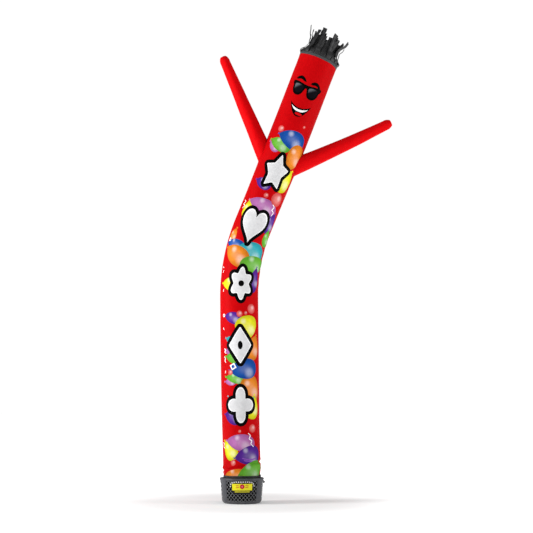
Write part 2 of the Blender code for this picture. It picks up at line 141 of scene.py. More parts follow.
# (length, radius at the pinch, radius at the tip) of each strip, from just right of the front, round
# by the right-hand side
STRIPS = (
    (0.225, 0.165, 0.160), (0.328, 0.200, 0.212), (0.285, 0.168, 0.208), (0.240, 0.205, 0.225),
    (0.325, 0.176, 0.262), (0.250, 0.208, 0.240), (0.270, 0.165, 0.185), (0.300, 0.205, 0.195),
    (0.270, 0.158, 0.165), (0.230, 0.202, 0.180), (0.215, 0.160, 0.150), (0.280, 0.204, 0.185),
    (0.300, 0.160, 0.160), (0.275, 0.205, 0.205), (0.270, 0.170, 0.215), (0.358, 0.192, 0.246),
    (0.245, 0.166, 0.168), (0.325, 0.200, 0.174), (0.365, 0.158, 0.158), (0.265, 0.200, 0.182),
)
BILLOW = 0.014
BILLOW_HEIGHT = 0.055
BILLOW_SPREAD = 0.030

# Blower drum
DRUM_HEIGHT = 0.300
DRUM_TOP_RADIUS = 0.2590
DRUM_LOW_RADIUS = 0.2350
DRUM_FLAT_RADIUS = 0.1900
DRUM_CORNER_HEIGHT = 0.045
LIP_BOTTOM = 0.280
LIP_RADIUS = 0.2620
WALL = 0.003
NECK_RADIUS = 0.2127
NECK_TOP = 0.334
WINDOW_COUNT = 3
WINDOW_HALF_ANGLE = 47.0
WINDOW_BOTTOM = 0.030
WINDOW_TOP = 0.272
LATTICE_PITCH = 0.048
LATTICE_WIDTH = 0.0048
LATTICE_THICKNESS = 0.0016
LATTICE_BORDER = 0.006

# Printed inks, as linear colours
RED = (0.49, 0.0010, 0.0026)
# The sleeves' red is the body's red nylon painted lighter: painted light for the lamp light that the head
# keeps off the sleeves
SLEEVE_RED_PAINTED_LIGHTER = (0.60, 0.0012, 0.0030)
BLACK = (0.0012, 0.0012, 0.0014)
WHITE = (0.93, 0.93, 0.93)
PALE_GREY = (0.67, 0.67, 0.68)
LENS = (0.004, 0.0035, 0.006)
TONGUE = (0.62, 0.004, 0.006)
BLUE = (0.010, 0.075, 0.34)
GREEN = (0.13, 0.42, 0.035)
ORANGE = (0.72, 0.22, 0.018)
YELLOW = (0.72, 0.70, 0.015)
PURPLE = (0.085, 0.020, 0.26)
LILAC = (0.42, 0.14, 0.38)
TEAL = (0.030, 0.37, 0.42)
PINK = (0.72, 0.22, 0.20)

# Kinds of print, which the nylon's nodes tell apart
PLAIN, GLOSSY, BUBBLE, FLAT_INK, HATCHED, GLAZED = range(6)

# (u, v, length, width, direction of the knot in degrees, ink), from the back of the print to the front
BALLOONS = (
    (-0.12, 3.985, 0.17, 0.11, 150, LILAC), (-0.05, 4.030, 0.27, 0.16, 168, GREEN),
    (0.078, 4.132, 0.345, 0.230, 174, BLUE), (0.190, 3.950, 0.32, 0.23, -102, ORANGE),
    (-0.07, 3.520, 0.21, 0.14, 168, PURPLE), (0.160, 3.640, 0.30, 0.27, 60, YELLOW),
    (-0.14, 3.150, 0.21, 0.15, 100, YELLOW), (0.050, 3.262, 0.38, 0.19, 174, LILAC),
    (0.225, 3.095, 0.26, 0.19, 76, PURPLE), (0.275, 2.905, 0.22, 0.15, 96, GREEN),
    (-0.215, 2.830, 0.15, 0.12, 70, ORANGE), (-0.14, 2.735, 0.27, 0.12, 176, BLUE),
    (0.110, 2.680, 0.37, 0.27, 172, TEAL), (-0.080, 2.612, 0.35, 0.230, 158, ORANGE),
    (0.175, 2.535, 0.40, 0.225, 12, GREEN),
    (-0.10, 2.275, 0.25, 0.16, 176, YELLOW), (0.205, 2.335, 0.31, 0.15, 82, PURPLE),
    (-0.075, 1.880, 0.22, 0.14, 166, PURPLE), (0.105, 1.775, 0.26, 0.30, -80, YELLOW),
    (-0.05, 1.590, 0.24, 0.15, 158, TEAL), (-0.07, 1.485, 0.22, 0.15, 176, LILAC),
    (-0.05, 1.405, 0.24, 0.15, 172, GREEN), (0.185, 1.515, 0.29, 0.21, 68, ORANGE),
    (-0.12, 1.128, 0.15, 0.09, 180, LILAC), (-0.05, 1.165, 0.25, 0.12, 172, GREEN),
    (0.150, 1.040, 0.32, 0.27, -62, ORANGE), (0.066, 1.275, 0.35, 0.235, 184, BLUE),
    (0.170, 0.815, 0.27, 0.20, 78, YELLOW), (-0.09, 0.716, 0.23, 0.18, 166, PURPLE),
    (-0.155, 0.322, 0.25, 0.19, 128, YELLOW), (0.005, 0.412, 0.37, 0.20, 172, LILAC),
    (0.105, 0.262, 0.34, 0.215, 188, PURPLE), (-0.080, 0.030, 0.34, 0.15, 184, ORANGE),
    (0.140, 0.070, 0.38, 0.225, 200, GREEN),
)
KNOT_LENGTH = 0.020
KNOT_HALF = 0.016
# (u, v, radius) of the pale see-through bubbles
BUBBLES = (
    (-0.117, 4.215, 0.040), (0.182, 3.400, 0.086), (0.020, 3.395, 0.030), (0.168, 1.985, 0.058),
    (0.007, 1.925, 0.038), (-0.121, 1.235, 0.032), (0.162, 0.575, 0.050), (-0.109, 0.180, 0.036),
    (0.085, 1.935, 0.022), (-0.012, 0.545, 0.020), (0.150, 4.330, 0.018),
)
# White curled ribbons, each a line of (u, v)
RIBBONS = (
    ((-0.250, 3.265), (-0.222, 3.245), (-0.246, 3.215), (-0.214, 3.195), (-0.236, 3.160)),
    ((0.150, 3.325), (0.186, 3.300), (0.168, 3.262), (0.206, 3.238), (0.192, 3.190)),
    ((0.098, 0.520), (0.126, 0.492), (0.110, 0.455), (0.146, 0.430), (0.132, 0.396), (0.172, 0.360)),
    ((-0.292, 0.418), (-0.262, 0.402), (-0.284, 0.372), (-0.248, 0.352)),
    ((-0.212, 1.425), (-0.198, 1.400), (-0.204, 1.376), (-0.188, 1.352)),
    ((-0.214, 1.520), (-0.188, 1.502), (-0.206, 1.478), (-0.182, 1.462)),
)
RIBBON_WIDTH = 0.012
# Lighter streaks across the lowest purple balloon
STREAKS = (
    ((0.010, 0.232), (0.070, 0.218), (0.140, 0.216), (0.200, 0.226)),
    ((0.030, 0.206), (0.090, 0.196), (0.150, 0.194)),
)
STREAK_WIDTH = 0.015
STREAK_INK = (0.24, 0.085, 0.42)
# (u, v, tilt in degrees) of short white dashes, and (u, v, outer radius) of white rings
DASHES = (
    (-0.224, 1.755, -55), (-0.199, 1.243, 75), (-0.277, 2.462, -15), (-0.260, 2.416, 60), (-0.224, 2.205, 85),
)
DASH_LENGTH = 0.034
DASH_WIDTH = 0.011
RINGS = ((-0.255, 2.778, 0.022), (-0.215, 1.912, 0.019))
# (u, v, half width of the outer square)
SQUARE_RING = (-0.082, 1.305, 0.033)
SQUARE_TILT = 28
SQUARE_HOLE = 0.55
RING_HOLE = 0.5
# (u, v, radius, ink) of small dots
DOTS = ((0.183, 0.930, 0.013, TEAL), (-0.162, 0.958, 0.010, TEAL), (-0.112, 0.822, 0.015, YELLOW))

# Motifs down the front: (shape, u, v, half width, half height)
MOTIFS = (
    ("star", 0.026, 3.695, 0.150, 0.228),
    ("heart", 0.012, 2.985, 0.158, 0.205),
    ("flower", 0.026, 2.288, 0.145, 0.200),
    ("diamond", 0.012, 1.556, 0.148, 0.220),
    ("sparkle", 0.008, 0.852, 0.168, 0.210),
)
MOTIF_OUTLINE = 0.041
MOTIF_RIM = 0.93
MOTIF_STEPS = 96
# (half width, half height) of the black dot in the middle of two of them
MOTIF_DOTS = {"flower": (0.036, 0.036), "diamond": (0.030, 0.050)}
STAR_NOTCH = 0.56
STAR_SPREAD = 1.05
HEART_DEPTH = 14.5
HEART_RISE = 0.17

# Face, in u and in height above FACE_FOOT
FACE_FOOT = 4.400
FACE_MIDDLE = -0.002
GLASSES_TOP = ((0.000, 0.412), (0.040, 0.416), (0.095, 0.428), (0.150, 0.436), (0.196, 0.436))
GLASSES_LOW = (
    (0.196, 0.436), (0.194, 0.398), (0.178, 0.380), (0.168, 0.326), (0.140, 0.282), (0.100, 0.261),
    (0.060, 0.266), (0.034, 0.292), (0.020, 0.332), (0.010, 0.364), (0.000, 0.372),
)
LENS_LOOP = (
    (0.038, 0.384), (0.074, 0.399), (0.120, 0.404), (0.150, 0.397), (0.151, 0.362), (0.139, 0.322),
    (0.102, 0.292), (0.067, 0.294), (0.044, 0.322), (0.036, 0.356),
)
LENS_MIDDLE = (0.094, 0.348)
LENS_SHEEN_REACH = 0.058
GLASSES_TILT = -2.6
GLASSES_PIVOT = 0.42
# A brow, round its inner end
BROW_TOP = ((0.000, 0.000), (0.022, 0.030), (0.060, 0.045), (0.098, 0.036), (0.128, 0.010), (0.148, -0.020))
BROW_LOW = ((0.148, -0.020), (0.112, -0.014), (0.084, 0.001), (0.056, 0.003), (0.026, -0.004), (0.000, 0.000))
BROW_PLACES = ((-0.170, 0.466), (0.030, 0.440))
MOUTH_MIDDLE = 0.008
MOUTH_HALF = 0.137
MOUTH_CORNER = 0.184
LIP_SAG = 0.062
MOUTH_DEPTH = 0.172
TEETH_HALF = 0.108
TEETH_TOP, TEETH_TOP_SAG = 0.140, 0.038
TEETH_LOW_SAG = 0.064
# (sideways from the mouth's middle, height, half width, half height)
TONGUE_OVAL = (0.012, 0.047, 0.046, 0.017)


# ---------------------------------------------------------------------------------------------
# Shape of the tube, the sleeves and the drum
# ---------------------------------------------------------------------------------------------

def smooth(t):
    """Soft step from 0 to 1."""
    t = min(max(t, 0.0), 1.0)
    return t * t * (3.0 - 2.0 * t)


def hump(distance, spread):
    """Bell of height 1 round zero."""
    return math.exp(-(distance / spread) ** 2)


def ring_turns(steps):
    """Even angles once round, from 0."""
    return [FULL_TURN * step / steps for step in range(steps)]


def wrapped(angle):
    """The same angle between -180 and 180 degrees, in radians."""
    return (angle + math.pi) % FULL_TURN - math.pi


def arc_step(length, lean_from, lean_to):
    """Sideways and upward travel along an arc that turns from one lean to another (radians)."""
    turn = lean_to - lean_from
    if abs(turn) < 1e-9:
        return length * math.sin(lean_from), length * math.cos(lean_from)
    radius = length / turn
    sideways = radius * (math.cos(lean_from) - math.cos(lean_to))
    upward = radius * (math.sin(lean_to) - math.sin(lean_from))
    return sideways, upward


def body_frame(station):
    """Axis point and lean of the body at a distance along it from the cuff's edge."""
    x, z, lean = 0.0, CUFF_BOTTOM, 0.0
    left = station
    for length, lean_from, lean_to in BODY_RUNS:
        here = min(left, length)
        lean = math.radians(lean_from + (lean_to - lean_from) * here / length)
        dx, dz = arc_step(here, math.radians(lean_from), lean)
        x += dx
        z += dz
        left -= here
        if left <= 0.0:
            break
    return Vector((x, 0.0, z)), lean


def ring_frame(station):
    """Axis point and lean of a ring; the rim under its band stands on a slight slant."""
    past = station - (BODY_LENGTH - BAND_HEIGHT)
    centre, lean = body_frame(min(station, BODY_LENGTH - BAND_HEIGHT))
    if past >= 0.0:
        lean += math.radians(RIM_SLANT)
        centre += past * Vector((math.sin(lean), 0.0, math.cos(lean)))
    return centre, lean


def around(centre, lean, radius, angle, rise=0.0):
    """Point at an angle round a leaning axis; angle 0 faces the front and 90 degrees faces +X."""
    sideways = Vector((math.cos(lean), 0.0, -math.sin(lean)))
    along = Vector((math.sin(lean), 0.0, math.cos(lean)))
    front = Vector((0.0, -1.0, 0.0))
    return centre + radius * (math.cos(angle) * front + math.sin(angle) * sideways) + rise * along


def body_radius(station, angle):
    """Outer radius of the cloth, with the cuff's gathers, bulge and slanting crease."""
    swell = WAIST_RADIUS - FOOT_RADIUS
    full = FOOT_RADIUS + swell * smooth((station - WAIST_START) / WAIST_RUN)
    full += (HEAD_RADIUS - WAIST_RADIUS) * smooth((station - HEAD_START) / HEAD_RUN)
    loose = smooth((station - STRAP_HEIGHT) / (SWELL_END - STRAP_HEIGHT))
    radius = CUFF_RADIUS + (full - CUFF_RADIUS) * loose
    if station <= STRAP_HEIGHT + 0.005:
        return radius
    gather = math.cos(GATHER_COUNT * angle) * hump(station - GATHER_MIDDLE, GATHER_SPREAD)
    crease_at = CREASE_MIDDLE + CREASE_SLANT * math.sin(angle)
    crease = hump(station - crease_at, CREASE_SPREAD) * (0.65 + 0.35 * math.sin(angle + 0.5))
    bulge = hump(station - BULGE_MIDDLE, BULGE_SPREAD)
    return radius + GATHER_DEPTH * gather + BULGE_RISE * bulge - CREASE_DEPTH * crease


def cloth_relief(station, angle):
    """Soft folds of the body cloth: troughs, the puckers above the strap and the fluttering rim."""
    relief = 0.0
    for middle, at, depth, along, round_half, slant in TROUGHS:
        if abs(station - at) > 3.0 * along + abs(slant):
            continue
        off = wrapped(angle - math.radians(middle))
        across = hump(off, math.radians(round_half))
        line = station - at - slant * off
        relief += depth * across * (0.45 * hump(abs(line) - 2.0 * along, along) - hump(line, along))
    fold = station - CREASE_MIDDLE - CREASE_SLANT * math.sin(angle)
    if abs(fold) < 0.10:
        relief -= FOLD_DEPTH * hump(fold, 0.012)
        relief += FOLD_LIP * (0.8 * hump(fold - 0.026, 0.016) + 0.5 * hump(fold + 0.028, 0.016))
    wave = math.cos(PUCKER_COUNT * angle + 1.6 * math.sin(3.0 * angle))
    relief += PUCKER_DEPTH * wave * hump(station - PUCKER_MIDDLE, PUCKER_SPREAD)
    flutter = math.cos(RIM_WAVES * angle + 0.8) + 0.5 * math.cos((RIM_WAVES + 4) * angle)
    relief += RIM_WAVE_DEPTH * flutter * smooth((station - BODY_LENGTH + RIM_WAVE_RUN) / RIM_WAVE_RUN)
    return relief


def cloth_point(station, angle, lift=0.0):
    """Point on the outside of the body cloth."""
    centre, lean = ring_frame(station)
    radius = body_radius(station, angle) + cloth_relief(station, angle) + lift
    return around(centre, lean, radius, angle)


def arm_frame(arm, distance):
    """Axis point and lean of an arm at a distance from the body's axis."""
    side, splay, bow = arm[2:]
    root, body_lean = body_frame(SHOULDER_STATION)
    lean_from = body_lean + side * math.radians(splay)
    lean_to = lean_from + math.radians(bow)
    lean = lean_from + (lean_to - lean_from) * distance / ARM_LENGTH
    dx, dz = arc_step(distance, lean_from, lean)
    return root + Vector((dx, 0.0, dz)), lean


def arm_stretch(arm):
    """How far the air pushes a sleeve's tip out past its rest length."""
    lean = arm_frame(arm, ARM_LENGTH)[1]
    return ARM_REACH[arm[0]] * Vector((math.sin(lean), 0.0, math.cos(lean)))


def arm_radius(distance):
    """Radius of a sleeve, which tapers to where its blunt tip starts."""
    if distance <= ARM_STRAIGHT:
        return ARM_ROOT_RADIUS + (ARM_TIP_RADIUS - ARM_ROOT_RADIUS) * distance / ARM_STRAIGHT
    cap = (distance - ARM_STRAIGHT) / ARM_CAP_LENGTH
    return ARM_TIP_RADIUS + (ARM_CAP_RADIUS - ARM_TIP_RADIUS) * cap ** 1.6


def arm_point(arm, distance, angle, lift=0.0):
    """Point on a sleeve, whose air leaves shallow ridges along it and soft dents."""
    centre, lean = arm_frame(arm, distance)
    full = smooth((distance - 0.35) / 0.35) * smooth((ARM_LENGTH - distance) / 0.10)
    ridge = ARM_RIDGE_RISE * (math.cos(ARM_RIDGES * angle) - 1.0) * 0.5
    dent_place = Vector((3.0 * distance, 1.2 * math.cos(angle), 1.2 * math.sin(angle) + arm[2]))
    dent = ARM_DENT_DEPTH * noise.noise(dent_place)
    return around(centre, lean, arm_radius(distance) + full * (ridge + dent) + lift, angle)


def place_on_body(point):
    """Station, angle round and distance from the axis of a point near the upper body."""
    low, high = 3.0, 4.8
    for _ in range(40):
        station = (low + high) / 2.0
        centre, lean = body_frame(station)
        along = Vector((math.sin(lean), 0.0, math.cos(lean)))
        if (point - centre).dot(along) > 0.0:
            low = station
        else:
            high = station
    sideways = Vector((math.cos(lean), 0.0, -math.sin(lean)))
    offset = point - centre
    angle = math.atan2(offset.dot(sideways), -offset.y)
    return station, angle, math.hypot(offset.dot(sideways), offset.y)


def arm_root(arm):
    """Where a sleeve meets the body: (distance along the arm, station, angle round) for each column."""
    roots = []
    for column in range(ARM_COLUMNS):
        turn = FULL_TURN * column / ARM_COLUMNS
        low, high = ARM_INSIDE, 0.75
        for _ in range(30):
            distance = (low + high) / 2.0
            station, angle, away = place_on_body(arm_point(arm, distance, turn))
            if away < body_radius(station, angle) + cloth_relief(station, angle):
                low = distance
            else:
                high = distance
        roots.append((distance, station, angle))
    return roots


def header_radius():
    """Radius of the hair's header tape, just inside the cloth."""
    return HEAD_RADIUS - CLOTH - 3.0 * GAP


def drum_wall_radius(height):
    """Outer radius of the drum's wall, round the lower corner and up the taper."""
    if height >= DRUM_CORNER_HEIGHT:
        part = (height - DRUM_CORNER_HEIGHT) / (LIP_BOTTOM - DRUM_CORNER_HEIGHT)
        return DRUM_LOW_RADIUS + (DRUM_TOP_RADIUS - DRUM_LOW_RADIUS) * part
    part = 1.0 - height / DRUM_CORNER_HEIGHT
    return DRUM_FLAT_RADIUS + (DRUM_LOW_RADIUS - DRUM_FLAT_RADIUS) * math.sqrt(max(0.0, 1.0 - part * part))


# ---------------------------------------------------------------------------------------------
# Mesh and node helpers
# ---------------------------------------------------------------------------------------------

def piece_from(name, points, faces, smooth_angle=50.0):
    """New object at the origin from points and faces, shaded smooth except over sharp edges."""
    mesh = bpy.data.meshes.new(name)
    mesh.from_pydata([tuple(point) for point in points], [], faces)
    mesh.update()
    mesh.shade_smooth()
    mesh.set_sharp_from_angle(angle=math.radians(smooth_angle))
    piece = bpy.data.objects.new(name, mesh)
    scene.collection.objects.link(piece)
    return piece


def grid_faces(rows, columns, closed):
    """Quads between rows of points; closed joins each row's last point to its first."""
    faces = []
    for row in range(rows - 1):
        for column in range(columns if closed else columns - 1):
            after = (column + 1) % columns
            low, high = row * columns, (row + 1) * columns
            faces.append((low + column, low + after, high + after, high + column))
    return faces


def bake_down(piece):
    """Turns a piece with modifiers into the plain mesh that they give."""
    shown = piece.evaluated_get(bpy.context.evaluated_depsgraph_get())
    mesh = bpy.data.meshes.new_from_object(shown)
    old = piece.data
    piece.modifiers.clear()
    piece.data = mesh
    if isinstance(old, bpy.types.Mesh):
        bpy.data.meshes.remove(old)
    return piece


def thicken(piece, thickness):
    """Gives a sheet its thickness, inwards from the side that its faces point to."""
    wall = piece.modifiers.new("thickness", "SOLIDIFY")
    wall.thickness = thickness
    wall.offset = -1.0
    wall.use_even_offset = False
    return bake_down(piece)


def lay_weave_map(piece, flat, radius=None):
    """Stores each point's place on the flat cloth, in metres, as the map that the weave follows.

    On a ring, whose flat places were measured at a radius, the last faces run on past the full turn.
    """
    piece.data.uv_layers.new(name="weave")
    layer = piece.data.uv_layers["weave"].data
    full = FULL_TURN * radius if radius else math.inf
    for polygon in piece.data.polygons:
        corners = [flat[piece.data.loops[loop].vertex_index] for loop in polygon.loop_indices]
        across = [u for u, _ in corners]
        wraps = max(across) - min(across) > full / 2.0
        for loop, (u, v) in zip(polygon.loop_indices, corners):
            layer[loop].uv = (u + full if wraps and u < full / 2.0 else u, v)


class Net:
    """A node tree being written, with short calls for the nodes it is made of."""

    def __init__(self, tree):
        self.tree = tree

    def node(self, kind, inputs=None, **settings):
        """New node with its settings and inputs."""
        made = self.tree.nodes.new(kind)
        for key, value in settings.items():
            setattr(made, key, value)
        for key, value in (inputs or {}).items():
            self.feed(made.inputs[key], value)
        return made

    def feed(self, socket, value):
        """Links another node's output to a socket, or sets the socket's own value."""
        if isinstance(value, bpy.types.NodeSocket):
            self.tree.links.new(value, socket)
        else:
            socket.default_value = value

    def math(self, operation, *values):
        made = self.node("ShaderNodeMath", operation=operation)
        for socket, value in zip(made.inputs, values):
            self.feed(socket, value)
        return made.outputs[0]

    def times(self, first, second):
        return self.math("MULTIPLY", first, second)

    def plus(self, first, second):
        return self.math("ADD", first, second)

    def minus(self, first, second):
        return self.math("SUBTRACT", first, second)

    def size_of(self, value):
        """Value without its sign."""
        return self.math("ABSOLUTE", value)

    def wave(self, value, turns):
        """Sine of a value taken so many times."""
        return self.math("SINE", self.times(value, turns))

    def away(self, x, y):
        """Distance from the middle of a place."""
        return self.math("SQRT", self.plus(self.times(x, x), self.times(y, y)))

    def ramp(self, value, low, high, to_low=0.0, to_high=1.0):
        """Soft step of a value between two limits."""
        made = self.node("ShaderNodeMapRange", interpolation_type="SMOOTHSTEP")
        for key, number in (("Value", value), ("From Min", low), ("From Max", high),
                            ("To Min", to_low), ("To Max", to_high)):
            self.feed(made.inputs[key], number)
        return made.outputs["Result"]

    def mix(self, share, first, second, blend="MIX"):
        """Colour between two colours."""
        made = self.node("ShaderNodeMix", data_type="RGBA", blend_type=blend)
        for index, value in ((0, share), (6, first), (7, second)):
            if isinstance(value, tuple) and len(value) == 3:
                value = (*value, 1.0)
            self.feed(made.inputs[index], value)
        return made.outputs[2]

    def noise(self, where, scale, detail=2.0, roughness=0.5):
        made = self.node("ShaderNodeTexNoise", {"Scale": scale, "Detail": detail, "Roughness": roughness})
        self.feed(made.inputs["Vector"], where)
        return made.outputs["Fac"]

    def place(self):
        """Place on the object, in metres."""
        return self.node("ShaderNodeTexCoord").outputs["Object"]

    def flat_place(self):
        """Place on the flat cloth, in metres."""
        return self.node("ShaderNodeUVMap", uv_map="weave").outputs["UV"]

    def split(self, vector):
        return self.node("ShaderNodeSeparateXYZ", {0: vector}).outputs

    def bump(self, height, distance, strength=1.0, under=None):
        made = self.node("ShaderNodeBump", {"Height": height, "Distance": distance, "Strength": strength})
        if under is not None:
            self.feed(made.inputs["Normal"], under)
        return made.outputs["Normal"]


def new_finish(name):
    """A node material, its net and its Principled shader."""
    material = bpy.data.materials.new(name)
    material.use_nodes = True
    net = Net(material.node_tree)
    return material, net, material.node_tree.nodes["Principled BSDF"]


def dress(net, shader, colour, roughness, shine, normal=None):
    """Feeds a shader its colour, roughness and specular level, and its bump if it has one."""
    net.feed(shader.inputs["Base Color"], colour)
    net.feed(shader.inputs["Roughness"], roughness)
    net.feed(shader.inputs["Specular IOR Level"], shine)
    if normal is not None:
        net.feed(shader.inputs["Normal"], normal)


def put_on(piece, material):
    """Gives a piece one finish all over."""
    piece.data.materials.clear()
    piece.data.materials.append(material)


# ---------------------------------------------------------------------------------------------
# Finishes
# ---------------------------------------------------------------------------------------------

NYLON_SHINE = 0.022
# (sideways, up, reach, strength) of the lights drawn on a balloon, in half balloons from its middle
BALLOON_LIGHTS = ((-0.36, 0.44, 0.34, 0.34), (0.42, -0.32, 0.58, 0.30))
HATCH_TURNS = 95.0
RIPSTOP_PITCH = 0.0060
THREAD_PITCH = 0.0012


def weave_height(net, place):
    """Height of a plain weave with a raised ripstop thread every few millimetres, and its grid alone."""
    x, y, _ = net.split(place)
    ridges = []
    for axis in (x, y):
        phase = net.math("FRACT", net.math("DIVIDE", axis, RIPSTOP_PITCH))
        ridges.append(net.ramp(net.size_of(net.minus(phase, 0.5)), 0.02, 0.12, 1.0, 0.0))
    grid = net.math("MAXIMUM", *ridges)
    turns = FULL_TURN / THREAD_PITCH
    threads = net.times(net.wave(x, turns), net.wave(y, turns))
    return net.math("MULTIPLY_ADD", threads, 0.35, grid), grid


def cloth_shading(net, shader, colour, roughness, shine, crinkle):
    """Weave, crinkles, uneven dye and sheen that every cloth here shares."""
    spot = net.place()
    height, grid = weave_height(net, net.flat_place())
    cloudy = net.noise(spot, 2.6, 3.0, 0.55)
    patchy = net.noise(spot, 26.0, 4.0, 0.65)
    dye = net.times(net.ramp(cloudy, 0.30, 0.72, 0.94, 1.03), net.ramp(patchy, 0.30, 0.70, 0.93, 1.05))
    dye = net.math("MULTIPLY_ADD", grid, -0.05, dye)
    crinkles = net.bump(net.noise(spot, 9.0, 5.0, 0.55), crinkle)
    dress(net, shader, net.mix(1.0, colour, shade_of(net, dye), "MULTIPLY"),
          net.ramp(patchy, 0.2, 0.8, roughness - 0.05, roughness + 0.07), shine,
          net.bump(height, 0.00012, 0.6, crinkles))


def shade_of(net, value):
    """A grey of the given value."""
    return net.node("ShaderNodeCombineColor", {0: value, 1: value, 2: value}).outputs[0]


def printed_nylon():
    """Red nylon with its print: glossy balloons, pale bubbles, flat inks, hatched motifs and lenses."""
    material, net, shader = new_finish("printed_nylon")
    ink = net.node("ShaderNodeAttribute", attribute_name="print_ink")
    x, y, kind = net.split(net.node("ShaderNodeAttribute", attribute_name="print_place").outputs["Vector"])
    edge = ink.outputs["Alpha"]
    colour = ink.outputs["Color"]

    def is_kind(number):
        """1 on shapes of one kind of print, otherwise 0."""
        return net.math("COMPARE", kind, float(number), 0.4)

    def spot(at_x, at_y, reach, strength):
        """Soft round light, at its strongest in its middle."""
        off = net.away(net.minus(x, at_x), net.minus(y, at_y))
        return net.ramp(off, 0.15 * reach, reach, strength, 0.0)

    balloon = is_kind(GLOSSY)
    rim_dark = net.times(balloon, net.ramp(edge, 0.55, 1.0, 0.0, 0.40))
    colour = net.mix(rim_dark, colour, net.mix(1.0, colour, (0.35, 0.35, 0.40), "MULTIPLY"))
    glow = net.times(balloon, net.ramp(edge, 0.0, 0.7, 0.10, 0.0))
    colour = net.mix(glow, colour, WHITE)
    for at_x, at_y, reach, strength in BALLOON_LIGHTS:
        light = net.times(balloon, spot(at_x, at_y, reach, strength))
        colour = net.mix(light, colour, WHITE)

    haze = net.times(is_kind(BUBBLE), net.ramp(edge, 0.25, 1.0, 0.85, 0.30))
    colour = net.mix(haze, colour, PINK)
    gleam = net.times(is_kind(BUBBLE), spot(0.25, 0.25, 0.55, 0.55))
    colour = net.mix(gleam, colour, (0.80, 0.62, 0.60))

    hatch = net.wave(net.plus(x, net.times(y, 0.35)), HATCH_TURNS)
    hatch = net.times(is_kind(HATCHED), net.ramp(hatch, 0.2, 1.0, 0.0, 0.16))
    colour = net.mix(hatch, colour, (0.42, 0.42, 0.44))

    slope = net.plus(net.times(y, 0.8), net.times(x, -0.6))
    sheen_band = net.times(is_kind(GLAZED), net.ramp(slope, 0.16, 0.95, 0.0, 0.19))
    colour = net.mix(sheen_band, colour, (0.55, 0.60, 0.66))
    cloth_shading(net, shader, colour, 0.50, NYLON_SHINE, 0.0020)
    return material


def plain_cloth(name, tint, roughness, shine, crinkle):
    """Woven cloth of one colour."""
    material, net, shader = new_finish(name)
    cloth_shading(net, shader, (*tint, 1.0), roughness, shine, crinkle)
    return material


RIB_PITCH = 0.0022
ROW_PITCH = 0.0036


def webbing_finish():
    """Black webbing with cross ribs and paler worn patches."""
    material, net, shader = new_finish("black_webbing")
    x, y, _ = net.split(net.flat_place())
    rows = net.wave(y, FULL_TURN / ROW_PITCH)
    height = net.math("MULTIPLY_ADD", rows, 0.5, net.wave(x, FULL_TURN / RIB_PITCH))
    worn = net.ramp(net.noise(net.place(), 22.0, 4.0), 0.35, 0.75)
    colour = net.mix(worn, (0.018, 0.018, 0.020), (0.036, 0.036, 0.039))
    dress(net, shader, colour, 0.62, 0.25, net.bump(height, 0.00025, 0.8))
    return material


def enamel_finish():
    """Charcoal powder coat with a fine orange peel, and dust low down."""
    material, net, shader = new_finish("charcoal_enamel")
    place = net.place()
    cloudy = net.noise(place, 7.0, 4.0)
    low = net.ramp(net.split(place)[2], 0.16, 0.0)
    dust = net.times(low, net.ramp(net.noise(place, 30.0, 5.0), 0.35, 0.8))
    base = net.mix(net.ramp(cloudy, 0.3, 0.7), (0.046, 0.048, 0.056), (0.064, 0.067, 0.078))
    colour = net.mix(net.times(dust, 0.35), base, (0.20, 0.19, 0.17))
    peel = net.bump(net.noise(place, 900.0, 2.0), 0.00015, 0.5)
    dress(net, shader, colour, net.ramp(cloudy, 0.3, 0.7, 0.36, 0.50), 0.35, peel)
    return material


def lattice_finish():
    """Bare grey of the pressed lattice, with brighter worn patches."""
    material, net, shader = new_finish("pressed_lattice")
    place = net.place()
    worn = net.ramp(net.noise(place, 60.0, 3.0), 0.35, 0.70)
    colour = net.mix(worn, (0.125, 0.127, 0.134), (0.220, 0.223, 0.234))
    grain = net.bump(net.noise(place, 700.0, 2.0), 0.0001, 0.5)
    dress(net, shader, colour, net.ramp(worn, 0.0, 1.0, 0.50, 0.36), 0.3, grain)
    return material


def moulded_finish(name, tint, roughness, shine=0.4):
    """Moulded plastic with a fine grain."""
    material, net, shader = new_finish(name)
    place = net.place()
    cloudy = net.noise(place, 40.0, 3.0)
    darker = tuple(0.72 * part for part in tint)
    grain = net.bump(net.noise(place, 1400.0, 2.0), 0.00008, 0.5)
    dress(net, shader, net.mix(net.ramp(cloudy, 0.3, 0.7), darker, tint),
          net.ramp(cloudy, 0.3, 0.7, roughness - 0.06, roughness + 0.06), shine, grain)
    return material


LABEL_TURN = math.radians(2.0)
LABEL_RADIUS = 0.251
LABEL_SPLIT = 0.163
LABEL_RED = (0.56, 0.010, 0.022)
STRIPE_HEIGHT = 0.1475
STRIPE_HALF = 0.090
DISC_HEIGHT = 0.208
DISC_RADIUS = 0.027
DISC_MIDDLE_RADIUS = 0.0095
WING_PLACE = 0.055
WING_HALF = 0.018
WING_GAP = 0.010
WING_HALF_HEIGHT = 0.0036


